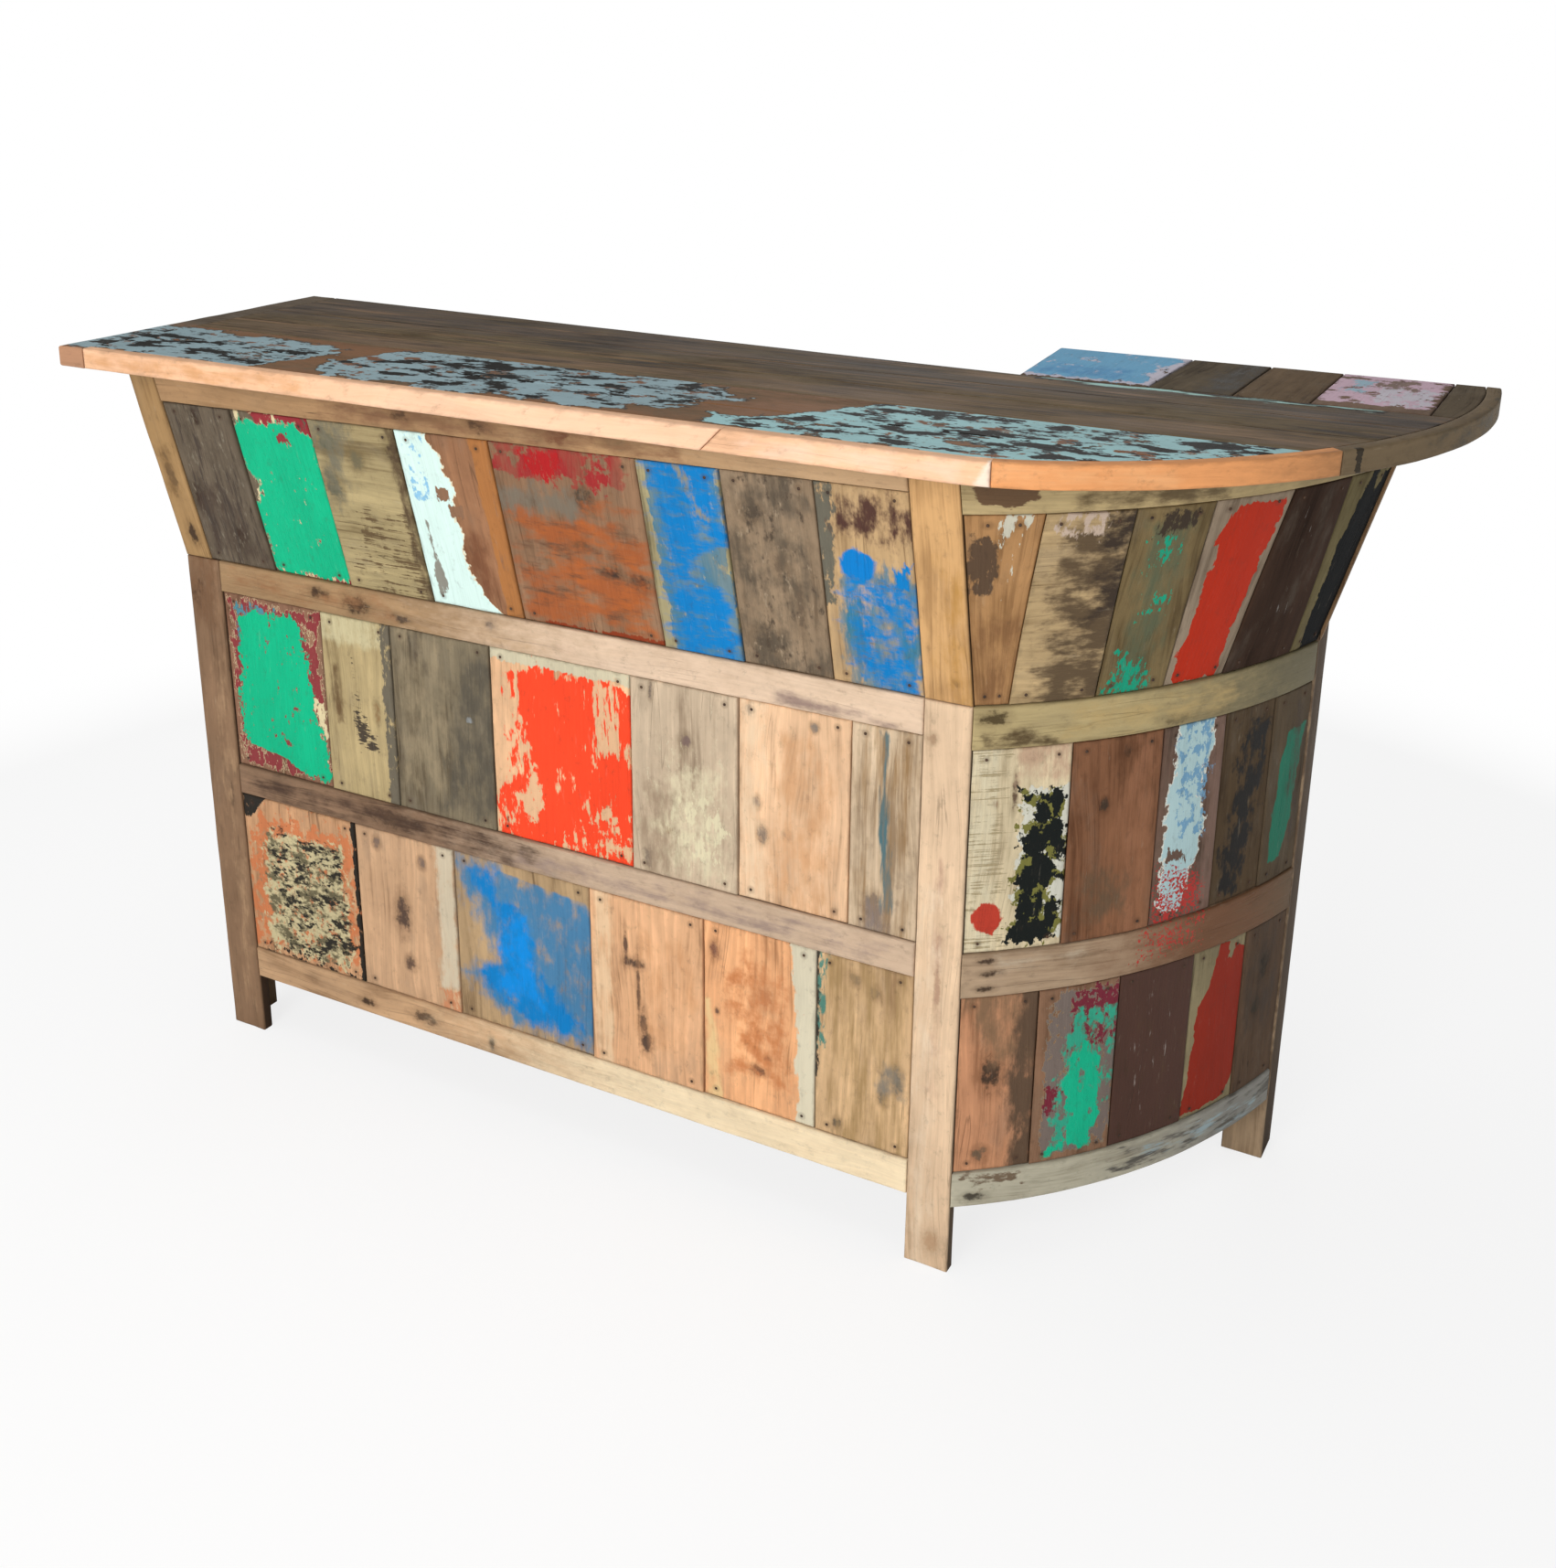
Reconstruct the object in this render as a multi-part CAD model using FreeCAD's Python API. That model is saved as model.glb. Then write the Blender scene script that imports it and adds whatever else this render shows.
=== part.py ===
import FreeCAD, Part
import math
import os

# Bar counter of reclaimed painted boards, with a straight front, a bowed right end and a flared upper row.
# Working frame in millimetres: X along the front from the left leg, Y in from the front face, Z up.
# The finished pieces are moved so that the origin is on the floor under the middle of the outline.

# Body
front_length = 1230.0
body_depth = 320.0
counter_height = 1100.0
flare_height = 292.0
flare_reach = 74.0

# Front frame: legs, flare stiles and rails of one board thickness
frame_thickness = 20.0
left_leg_width = 62.0
right_leg_width = 60.0
left_flare_stile_width = 48.0
right_flare_stile_width = 60.0
bottom_rail_lift = 99.0
bottom_rail_height = 50.0
middle_rail_height = 47.0
lower_row_share = 0.4916
knee_rail_height = 47.0
top_rail_left_height = 49.0
top_rail_right_height = 31.0

# Planks between the rails, their widths as shares of the row
plank_recess = 3.0
plank_gap = 1.0
upper_plank_shares = (0.109, 0.124, 0.129, 0.132, 0.192, 0.101, 0.108, 0.105)
middle_plank_shares = (0.166, 0.113, 0.153, 0.201, 0.143, 0.140, 0.084)
lower_plank_shares = (0.198, 0.162, 0.208, 0.161, 0.150, 0.121)
end_plank_shares = (0.36, 0.28, 0.36)

# Bowed right end: an arc from the right leg to the rear right leg
bow_reach = 302.0
bow_depth = 430.0
bow_radius = 780.0
bow_flare_reach = 80.0
bow_middle_rail_height = 60.0
bow_knee_rail_height = 54.0
bow_top_rail_height = 50.0
upper_stave_foot_shares = (0.0, 0.077, 0.279, 0.456, 0.630, 0.871, 1.0)
upper_stave_head_shares = (0.0, 0.147, 0.316, 0.480, 0.670, 0.838, 1.0)
middle_stave_shares = (0.0, 0.235, 0.470, 0.660, 0.840, 1.0)
lower_stave_shares = (0.0, 0.190, 0.403, 0.628, 0.820, 1.0)

# Posts behind the front, and the left end's front stile
end_stile_width = 55.0
post_width = 50.0
rear_right_leg_width = 58.0
rear_right_leg_depth = 60.0
return_leg_inset = 65.0

# Battens and curved ribs that back the rails and take the nails
batten_thickness = 20.0
batten_lap = 25.0
rib_clearance = 0.2

# Shelves and the bearers under them
lower_shelf_height = 190.0
middle_shelf_height = 520.0
shelf_thickness = 18.0
shelf_board_count = 3
shelf_bearer_height = 35.0
shelf_bearer_thickness = 20.0

# Aprons and cross bearers under the top
apron_height = 60.0
apron_thickness = 20.0
bearer_height = 45.0
bearer_width = 40.0
bearer_place_shares = (0.25, 0.5, 0.75)

# Top: main boards, return boards and the edge bands
top_thickness = 28.0
top_front_overhang = 51.0
top_left_overhang = 65.0
top_left_skew = 32.0
main_top_left_depth = 532.0
main_top_right_depth = 468.0
top_depth = 685.0
top_tip_overhang = 161.0
curve_start_overhang = 55.0
top_curve_radius = 637.0
top_corner_radius = 250.0
return_left_overhang = 43.0
return_left_skew = 20.0
band_thickness = 18.0
left_band_width = 46.0
board_gap = 0.6
painted_board_count = 2
main_board_shares = (0.21, 0.23, 0.20, 0.18, 0.18)
return_board_shares = (0.333, 0.186, 0.164, 0.242, 0.075)
front_band_scarf_share = 0.79
tip_band_angle_share = 0.45

# Nails: flat heads on the planks, shanks into the battens
nail_head_radius = 3.0
nail_head_height = 1.0
nail_shank_radius = 1.2
nail_grip = 12.0
nail_clearance = 0.15
nail_edge_distance = 18.0

# Worked-out places
plank_thickness = frame_thickness - plank_recess
underside = counter_height - top_thickness
knee_height = underside - flare_height
flare_slope = flare_reach / flare_height
bottom_rail_top = bottom_rail_lift + bottom_rail_height
knee_rail_lift = knee_height - knee_rail_height
rows_height = knee_rail_lift - middle_rail_height - bottom_rail_top
middle_rail_lift = bottom_rail_top + rows_height * lower_row_share
middle_rail_top = middle_rail_lift + middle_rail_height
right_leg_x = front_length - right_leg_width
right_flare_x = front_length - right_flare_stile_width
bow_end_x = front_length + bow_reach
batten_back = frame_thickness + batten_thickness
end_panel_y = frame_thickness + end_stile_width
post_y = body_depth - post_width
inner_corner_x = front_length - return_leg_inset
top_front = -flare_reach - top_front_overhang
top_back = top_front + top_depth
apron_lift = underside - apron_height

parts = {}


def vec(x, y, z):
    return FreeCAD.Vector(x, y, z)


def polar(centre, radius, turn, z):
    return vec(centre.x + radius * math.cos(turn), centre.y + radius * math.sin(turn), z)


def block(x0, x1, y0, y1, z0, z1):
    return Part.makeBox(x1 - x0, y1 - y0, z1 - z0, vec(x0, y0, z0))


def prism(points, direction):
    return Part.Face(Part.makePolygon(points + points[:1])).extrude(direction)


def group(solids):
    return Part.makeCompound(solids)


def seams(start, end, shares):
    places = [start]
    for share in shares:
        places.append(places[-1] + (end - start) * share / sum(shares))
    return list(zip(places[:-1], places[1:]))


def nail(point, outward):
    head = Part.makeCylinder(nail_head_radius, nail_head_height, point, outward)
    shank = Part.makeCylinder(nail_shank_radius, plank_thickness + nail_grip, point, -outward)
    return head.fuse(shank).removeSplitter()


def nail_room(point, outward):
    length = plank_thickness + nail_grip + nail_clearance
    shank = Part.makeCylinder(nail_shank_radius + nail_clearance, length, point, -outward)
    head = Part.makeCylinder(nail_head_radius + nail_clearance, nail_head_height, point, outward)
    return shank.fuse(head)


def drill(shape, places):
    return shape.cut([nail_room(point, outward) for point, outward in places])


def nails_between(places, foot, head):
    return [place for place in places if foot - nail_head_radius < place[0].z < head + nail_head_radius]


# Front face: a board with given x, z corners, following the upright face or the flare
def face_y(z):
    return -flare_slope * max(z - knee_height, 0.0)


def front_board(corners, front, back):
    points = [vec(x, face_y(z) + front, z) for x, z in corners]
    return prism(points, vec(0, back - front, 0))


def front_rect(x0, x1, z0, z1, front, back):
    return front_board([(x0, z0), (x1, z0), (x1, z1), (x0, z1)], front, back)


def top_rail_edge(x):
    share = (x - left_flare_stile_width) / (right_flare_x - left_flare_stile_width)
    return underside - top_rail_left_height + (top_rail_left_height - top_rail_right_height) * share


def front_normal(z):
    slope = flare_slope if z > knee_height else 0.0
    return vec(0, -1, -slope).normalize()


def front_plank(x0, x1, foot, head_left, head_right):
    gap = plank_gap / 2
    left, right = x0 + gap, x1 - gap
    corners = [(left, foot + gap), (right, foot + gap), (right, head_right - gap), (left, head_left - gap)]
    plank = front_board(corners, plank_recess, frame_thickness)
    places = []
    for x, head in ((x0 + nail_edge_distance, head_left), (x1 - nail_edge_distance, head_right)):
        for z in (foot + batten_lap / 2, head - batten_lap / 2):
            places.append((vec(x, face_y(z) + plank_recess, z), front_normal(z)))
    return drill(plank, places), places


front_nails = []


def front_row(name, start, end, shares, foot, head_at):
    for number, (x0, x1) in enumerate(seams(start, end, shares), 1):
        plank, places = front_plank(x0, x1, foot, head_at(x0), head_at(x1))
        parts[f"front_{name}_plank_{number}"] = plank
        front_nails.extend(places)


def build_front():
    depth = frame_thickness
    parts["front_left_leg"] = front_rect(0, left_leg_width, 0, knee_height, 0, depth)
    parts["front_right_leg"] = front_rect(right_leg_x, front_length, 0, knee_height, 0, depth)
    for name, x0, x1 in (("left", 0, left_flare_stile_width), ("right", right_flare_x, front_length)):
        parts[f"front_{name}_flare_stile"] = front_rect(x0, x1, knee_height, underside, 0, depth)
    rails = (("bottom", bottom_rail_lift, bottom_rail_top), ("middle", middle_rail_lift, middle_rail_top),
             ("knee", knee_rail_lift, knee_height))
    for name, foot, head in rails:
        parts[f"front_{name}_rail"] = front_rect(left_leg_width, right_leg_x, foot, head, 0, depth)
    rail_left, rail_right = left_flare_stile_width, right_flare_x
    corners = [(rail_left, top_rail_edge(rail_left)), (rail_right, top_rail_edge(rail_right)),
               (rail_right, underside), (rail_left, underside)]
    parts["front_top_rail"] = front_board(corners, 0, depth)
    front_row("upper", rail_left, rail_right, upper_plank_shares, knee_height, top_rail_edge)
    left, right = left_leg_width, right_leg_x
    front_row("middle", left, right, middle_plank_shares, middle_rail_top, lambda x: knee_rail_lift)
    front_row("lower", left, right, lower_plank_shares, bottom_rail_top, lambda x: middle_rail_lift)


# Battens: strips behind each rail that lap the ends of the planks above and below it
def batten_levels():
    return ((bottom_rail_lift, bottom_rail_top + batten_lap),
            (middle_rail_lift - batten_lap, middle_rail_top + batten_lap),
            (knee_rail_lift - batten_lap, knee_height),
            (knee_height, knee_height + batten_lap),
            (underside - top_rail_left_height - batten_lap, underside))


def build_battens():
    battens = []
    for foot, head in batten_levels():
        batten = front_rect(frame_thickness, front_length, foot, head, frame_thickness, batten_back)
        battens.append(drill(batten, nails_between(front_nails + bow_nails, foot, head)))
        batten = block(frame_thickness, batten_back, batten_back, post_y, foot, head)
        battens.append(drill(batten, nails_between(end_nails, foot, head)))
    parts["panel_battens"] = group(battens)


# Left end: a flat frame behind the front leg, with a wedge that fills the flare
end_nails = []


def end_row(foot, head):
    planks = []
    gap = plank_gap / 2
    for y0, y1 in seams(end_panel_y, post_y, end_plank_shares):
        places = []
        for y in (y0 + nail_edge_distance, y1 - nail_edge_distance):
            for z in (foot + batten_lap / 2, head - batten_lap / 2):
                places.append((vec(plank_recess, y, z), vec(-1, 0, 0)))
        plank = block(plank_recess, frame_thickness, y0 + gap, y1 - gap, foot + gap, head - gap)
        planks.append(drill(plank, places))
        end_nails.extend(places)
    return planks


def build_left_end():
    parts["end_front_stile"] = block(0, frame_thickness, frame_thickness, end_panel_y, 0, underside)
    wedge = [vec(0, frame_thickness, knee_height), vec(0, frame_thickness, underside),
             vec(0, frame_thickness - flare_reach, underside)]
    parts["end_flare_wedge"] = prism(wedge, vec(frame_thickness, 0, 0))
    parts["rear_left_leg"] = block(0, post_width, post_y, body_depth, 0, underside)
    top_rail_foot = underside - top_rail_left_height
    levels = ((bottom_rail_lift, bottom_rail_top), (middle_rail_lift, middle_rail_top),
              (knee_rail_lift, knee_height), (top_rail_foot, underside))
    rails = [block(0, frame_thickness, end_panel_y, post_y, foot, head) for foot, head in levels]
    parts["end_rails"] = group(rails)
    rows = ((bottom_rail_top, middle_rail_lift), (middle_rail_top, knee_rail_lift),
            (knee_height, top_rail_foot))
    parts["end_planks"] = group([plank for foot, head in rows for plank in end_row(foot, head)])


# Bow: at each height an arc from the right leg's side plane to the rear right leg's front plane
def bow_arc(z):
    lean = max(z - knee_height, 0.0) / flare_height
    start = vec(front_length, -flare_reach * lean, 0)
    end = vec(bow_end_x + bow_flare_reach * lean, bow_depth, 0)
    chord = end - start
    rise = math.sqrt(bow_radius ** 2 - (chord.Length / 2) ** 2)
    centre = (start + end) / 2 + vec(-chord.y, chord.x, 0).normalize() * rise
    first = math.atan2(start.y - centre.y, start.x - centre.x)
    last = math.atan2(end.y - centre.y, end.x - centre.x)
    return centre, first, last


def bow_angle(z, depth, share, gap):
    centre, first, last = bow_arc(z)
    radius = bow_radius - depth
    if share <= 0:
        return -math.acos((front_length + gap - centre.x) / radius)
    if share >= 1:
        return math.asin((bow_depth + gap - centre.y) / radius)
    return first + (last - first) * share + gap / bow_radius


def bow_section(z, front, back, share_a, share_b, gap):
    centre = bow_arc(z)[0]

    def edge(depth):
        first = bow_angle(z, depth, share_a, gap)
        last = bow_angle(z, depth, share_b, -gap)
        return [polar(centre, bow_radius - depth, turn, z) for turn in (first, (first + last) / 2, last)]

    outer = edge(front)
    inner = edge(back)
    return Part.Wire([Part.Arc(*outer).toShape(), Part.makeLine(outer[2], inner[2]),
                      Part.Arc(*reversed(inner)).toShape(), Part.makeLine(inner[0], outer[0])])


def bow_piece(foot, head, front, back, foot_shares=(0.0, 1.0), head_shares=None, gap=0.0):
    head_shares = head_shares or foot_shares
    sections = [bow_section(foot + gap, front, back, *foot_shares, gap),
                bow_section(head - gap, front, back, *head_shares, gap)]
    return Part.makeLoft(sections, True, True)


def bow_nail_place(z, share_a, share_b, inset):
    centre, first, last = bow_arc(z)
    side = share_a if inset > 0 else share_b
    turn = bow_angle(z, plank_recess, side, 0.0) + inset / bow_radius
    radius = bow_radius - plank_recess
    share = (turn - first) / (last - first)
    lean = (bow_flare_reach * share + flare_reach * (1 - share)) / flare_height
    drop = -lean if z > knee_height else 0.0
    return polar(centre, radius, turn, z), vec(math.cos(turn), math.sin(turn), drop).normalize()


bow_nails = []


def bow_row(name, foot, head, foot_shares, head_shares):
    staves = []
    foot_pairs = list(zip(foot_shares[:-1], foot_shares[1:]))
    head_pairs = list(zip(head_shares[:-1], head_shares[1:]))
    for foot_pair, head_pair in zip(foot_pairs, head_pairs):
        stave = bow_piece(foot, head, plank_recess, frame_thickness, foot_pair, head_pair, plank_gap / 2)
        places = []
        for inset in (nail_edge_distance, -nail_edge_distance):
            places.append(bow_nail_place(foot + batten_lap / 2, *foot_pair, inset))
            places.append(bow_nail_place(head - batten_lap / 2, *head_pair, inset))
        staves.append(drill(stave, places))
        bow_nails.extend(places)
    parts[f"bow_{name}_staves"] = group(staves)


def build_bow():
    top_rail_foot = underside - bow_top_rail_height
    middle_rail_foot = middle_rail_top - bow_middle_rail_height
    knee_rail_foot = knee_height - bow_knee_rail_height
    rails = (("bottom", bottom_rail_lift, bottom_rail_top), ("middle", middle_rail_foot, middle_rail_top),
             ("knee", knee_rail_foot, knee_height), ("top", top_rail_foot, underside))
    for name, foot, head in rails:
        parts[f"bow_{name}_rail"] = bow_piece(foot, head, 0, frame_thickness)
    bow_row("lower", bottom_rail_top, middle_rail_foot, lower_stave_shares, lower_stave_shares)
    bow_row("middle", middle_rail_top, knee_rail_foot, middle_stave_shares, middle_stave_shares)
    bow_row("upper", knee_height, top_rail_foot, upper_stave_foot_shares, upper_stave_head_shares)
    levels = ((bottom_rail_lift, bottom_rail_top + batten_lap),
              (middle_rail_foot - batten_lap, middle_rail_top + batten_lap),
              (knee_rail_foot - batten_lap, knee_height),
              (knee_height, knee_height + batten_lap),
              (top_rail_foot - batten_lap, underside))
    ribs = []
    for foot, head in levels:
        rib = bow_piece(foot, head, frame_thickness + rib_clearance, batten_back)
        ribs.append(drill(rib, nails_between(bow_nails, foot, head)))
    parts["bow_ribs"] = group(ribs)
    leg_left = bow_end_x - rear_right_leg_width
    leg_back = bow_depth + rear_right_leg_depth
    parts["rear_right_leg"] = block(leg_left, bow_end_x, bow_depth, leg_back, 0, underside)
    cheek = [vec(bow_end_x, bow_depth, knee_height), vec(bow_end_x + bow_flare_reach, bow_depth, underside),
             vec(bow_end_x, bow_depth, underside)]
    parts["rear_flare_cheek"] = prism(cheek, vec(0, frame_thickness, 0))


# Posts, aprons and cross bearers on the serving side
def build_inner_frame():
    corner_right = inner_corner_x + post_width
    right_leg_left = bow_end_x - rear_right_leg_width
    apron_front = body_depth - post_width / 2 - apron_thickness / 2
    apron_back = apron_front + apron_thickness
    parts["inner_corner_leg"] = block(inner_corner_x, corner_right, post_y, body_depth, 0, underside)
    leg_back = bow_depth + rear_right_leg_depth
    parts["return_leg"] = block(inner_corner_x, corner_right, bow_depth, leg_back, 0, underside)
    side_left = inner_corner_x + (post_width - apron_thickness) / 2
    side_right = side_left + apron_thickness
    rear_front = bow_depth + (rear_right_leg_depth - apron_thickness) / 2
    rear_back = rear_front + apron_thickness
    runs = ((post_width, inner_corner_x, apron_front, apron_back),
            (side_left, side_right, body_depth, bow_depth),
            (corner_right, right_leg_left, rear_front, rear_back))
    parts["aprons"] = group([block(*run, apron_lift, underside) for run in runs])
    bearers = []
    bearer_foot = underside - bearer_height
    for share in bearer_place_shares:
        x = post_width + (inner_corner_x - post_width) * share - bearer_width / 2
        points = [vec(x, face_y(bearer_foot) + batten_back, bearer_foot),
                  vec(x, face_y(underside) + batten_back, underside),
                  vec(x, apron_front, underside), vec(x, apron_front, bearer_foot)]
        bearers.append(prism(points, vec(bearer_width, 0, 0)))
    parts["top_bearers"] = group(bearers)


def build_shelves():
    rear_back = body_depth - (post_width - shelf_bearer_thickness) / 2
    bearers = []
    boards = []
    gap = board_gap / 2
    for height in (lower_shelf_height, middle_shelf_height):
        foot = height - shelf_thickness
        for back in (batten_back + shelf_bearer_thickness, rear_back):
            front = back - shelf_bearer_thickness
            bearers.append(block(post_width, inner_corner_x, front, back, foot - shelf_bearer_height, foot))
        for y0, y1 in seams(batten_back, body_depth, (1,) * shelf_board_count):
            boards.append(block(post_width, inner_corner_x, y0 + gap, y1 - gap, foot, height))
    parts["shelf_boards"] = group(boards)
    parts["shelf_bearers"] = group(bearers)


# Top: one curve for the right edge, with its corner rounded into the straight front
def top_curve_centre():
    start = vec(front_length + curve_start_overhang, top_front, 0)
    tip = vec(bow_end_x + top_tip_overhang, top_back, 0)
    chord = tip - start
    rise = math.sqrt(top_curve_radius ** 2 - (chord.Length / 2) ** 2)
    return (start + tip) / 2 + vec(-chord.y, chord.x, 0).normalize() * rise


curve_centre = top_curve_centre()
corner_y = top_front + top_corner_radius
corner_run = math.sqrt((top_curve_radius - top_corner_radius) ** 2 - (corner_y - curve_centre.y) ** 2)
corner_centre = vec(curve_centre.x + corner_run, corner_y, 0)
corner_turn = math.atan2(corner_y - curve_centre.y, corner_run)
step_y = top_front + main_top_right_depth
step_x = inner_corner_x - return_left_overhang + return_left_skew


def curve_turn(y, inset):
    return math.asin((y - curve_centre.y) / (top_curve_radius - inset))


def top_arc(centre, radius, first, last):
    turns = (first, (first + last) / 2, last)
    return Part.Arc(*[polar(centre, radius, turn, underside) for turn in turns]).toShape()


def curve_edge(first, last, inset):
    return top_arc(curve_centre, top_curve_radius - inset, first, last)


def left_edge(y, inset):
    return -top_left_overhang - top_left_skew * (y - top_front) / main_top_left_depth + inset


def closed_solid(edges, corners):
    lines = [Part.makeLine(a, b) for a, b in zip(corners[:-1], corners[1:])]
    return Part.Face(Part.Wire(Part.__sortEdges__(edges + lines))).extrude(vec(0, 0, top_thickness))


def main_top(inset, left_inset):
    front = top_front + inset
    corner = top_arc(corner_centre, top_corner_radius - inset, -math.pi / 2, corner_turn)
    curve = curve_edge(corner_turn, curve_turn(step_y, inset), inset)
    back_y = top_front + main_top_left_depth
    corners = [curve.Vertexes[-1].Point, vec(step_x, step_y, underside),
               vec(left_edge(back_y, left_inset), back_y, underside),
               vec(left_edge(front, left_inset), front, underside), corner.Vertexes[0].Point]
    return closed_solid([corner, curve], corners)


def return_top(inset):
    curve = curve_edge(curve_turn(step_y, inset), curve_turn(top_back, inset), inset)
    corners = [curve.Vertexes[-1].Point, vec(inner_corner_x - return_left_overhang, top_back, underside),
               vec(step_x, step_y, underside), curve.Vertexes[0].Point]
    return closed_solid([curve], corners)


def strip(along, start, end):
    reach = 2 * (front_length + top_depth)
    low = [-reach, -reach, underside]
    high = [reach, reach, counter_height]
    low[along] = start + board_gap / 2
    high[along] = end - board_gap / 2
    return block(low[0], high[0], low[1], high[1], low[2], high[2])


def build_top_boards():
    main = main_top(band_thickness, left_band_width)
    places = seams(top_front + band_thickness, step_y, main_board_shares)
    boards = [main.common(strip(1, y0, y1)) for y0, y1 in places[:-1]]
    last_start = places[-1][0]
    boards.append(main.common(strip(1, last_start, top_front + main_top_left_depth + board_gap)))
    parts["top_front_boards"] = group(boards[:painted_board_count])
    parts["top_rear_boards"] = group(boards[painted_board_count:])
    back = return_top(band_thickness)
    left = inner_corner_x - return_left_overhang
    right = curve_centre.x + top_curve_radius - band_thickness
    cuts = seams(left, right, return_board_shares)
    cuts[0] = (cuts[0][0] - board_gap, cuts[0][1])
    cuts[-1] = (cuts[-1][0], cuts[-1][1] + board_gap)
    parts["return_boards"] = group([back.common(strip(0, x0, x1)) for x0, x1 in cuts])


def sector(first, last):
    reach = 2 * top_curve_radius
    rim = [polar(curve_centre, reach, turn, underside) for turn in (first, (first + last) / 2, last)]
    return prism([vec(curve_centre.x, curve_centre.y, underside)] + rim, vec(0, 0, top_thickness))


def build_edge_bands():
    rim_main = main_top(0, left_band_width).cut(main_top(band_thickness, left_band_width))
    rim_return = return_top(0).cut(return_top(band_thickness))
    rim = rim_main.fuse(rim_return).removeSplitter()
    joint_turn = math.atan2(top_front - curve_centre.y, front_length + curve_start_overhang - curve_centre.x)
    tip_turn = curve_turn(top_back, 0)
    tip_joint_turn = joint_turn + (tip_turn - joint_turn) * tip_band_angle_share
    parts["curve_edge_band"] = rim.common(sector(joint_turn, tip_joint_turn))
    past_tip_turn = tip_turn + (tip_turn - tip_joint_turn) / 2
    parts["tip_edge_band"] = rim.common(sector(tip_joint_turn, past_tip_turn))
    straight = rim_main.cut(sector(joint_turn, tip_turn))
    scarf_x = front_length * front_band_scarf_share
    left_x = left_edge(top_front + main_top_left_depth, 0)
    slope = [vec(left_x, top_front, underside), vec(scarf_x - top_thickness, top_front, underside),
             vec(scarf_x, top_front, counter_height), vec(left_x, top_front, counter_height)]
    left_side = prism(slope, vec(0, band_thickness, 0))
    parts["front_edge_bands"] = group([straight.common(left_side), straight.cut(left_side)])
    back_y = top_front + main_top_left_depth
    corners = [vec(left_edge(y, inset), y, underside) for y, inset in
               ((top_front, 0), (top_front, left_band_width), (back_y, left_band_width), (back_y, 0))]
    parts["left_edge_band"] = prism(corners, vec(0, 0, top_thickness))


def build_nails():
    places = front_nails + bow_nails + end_nails
    parts["plank_nails"] = group([nail(point, outward) for point, outward in places])


build_front()
build_left_end()
build_bow()
build_battens()
build_inner_frame()
build_shelves()
build_top_boards()
build_edge_bands()
build_nails()

bounds = group(list(parts.values())).BoundBox
to_origin = vec(-bounds.Center.x, -bounds.Center.y, 0)
os.makedirs("parts", exist_ok=True)
for name, shape in parts.items():
    shape.translated(to_origin).exportStep(f"parts/{name}.step")
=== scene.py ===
import bmesh
import bpy
import math
from mathutils import Matrix, Vector, noise


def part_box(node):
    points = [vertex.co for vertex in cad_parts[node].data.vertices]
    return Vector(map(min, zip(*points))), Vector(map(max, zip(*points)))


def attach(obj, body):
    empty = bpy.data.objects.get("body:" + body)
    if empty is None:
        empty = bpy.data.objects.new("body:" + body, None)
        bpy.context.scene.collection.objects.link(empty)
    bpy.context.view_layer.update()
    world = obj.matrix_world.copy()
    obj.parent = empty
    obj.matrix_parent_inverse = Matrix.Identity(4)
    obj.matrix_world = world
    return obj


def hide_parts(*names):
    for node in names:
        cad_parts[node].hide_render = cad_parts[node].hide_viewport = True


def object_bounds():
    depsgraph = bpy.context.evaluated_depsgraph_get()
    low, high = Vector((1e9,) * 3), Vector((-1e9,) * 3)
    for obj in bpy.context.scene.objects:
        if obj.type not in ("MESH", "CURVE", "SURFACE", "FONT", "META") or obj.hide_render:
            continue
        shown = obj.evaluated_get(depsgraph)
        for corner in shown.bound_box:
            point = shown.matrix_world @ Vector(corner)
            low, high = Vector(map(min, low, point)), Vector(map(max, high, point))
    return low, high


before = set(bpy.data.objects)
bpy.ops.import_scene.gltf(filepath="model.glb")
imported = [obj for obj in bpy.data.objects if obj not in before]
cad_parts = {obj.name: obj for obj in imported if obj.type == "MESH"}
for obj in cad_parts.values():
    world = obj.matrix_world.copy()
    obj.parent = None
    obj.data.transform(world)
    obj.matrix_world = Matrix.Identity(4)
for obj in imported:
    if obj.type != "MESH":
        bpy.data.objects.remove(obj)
cad_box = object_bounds()


# Posts behind the front: square and flat legs of sawn hardwood, left bare.
# They are cut from old house timbers, so the edges are worn round and the faces dented.
# Shelves, aprons and the boarded panels are nailed to them.
def tint(code):
    channels = [int(code[i:i + 2], 16) / 255 for i in (0, 2, 4)]
    linear = [c / 12.92 if c <= 0.04045 else ((c + 0.055) / 1.055) ** 2.4 for c in channels]
    return (*linear, 1.0)


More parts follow.
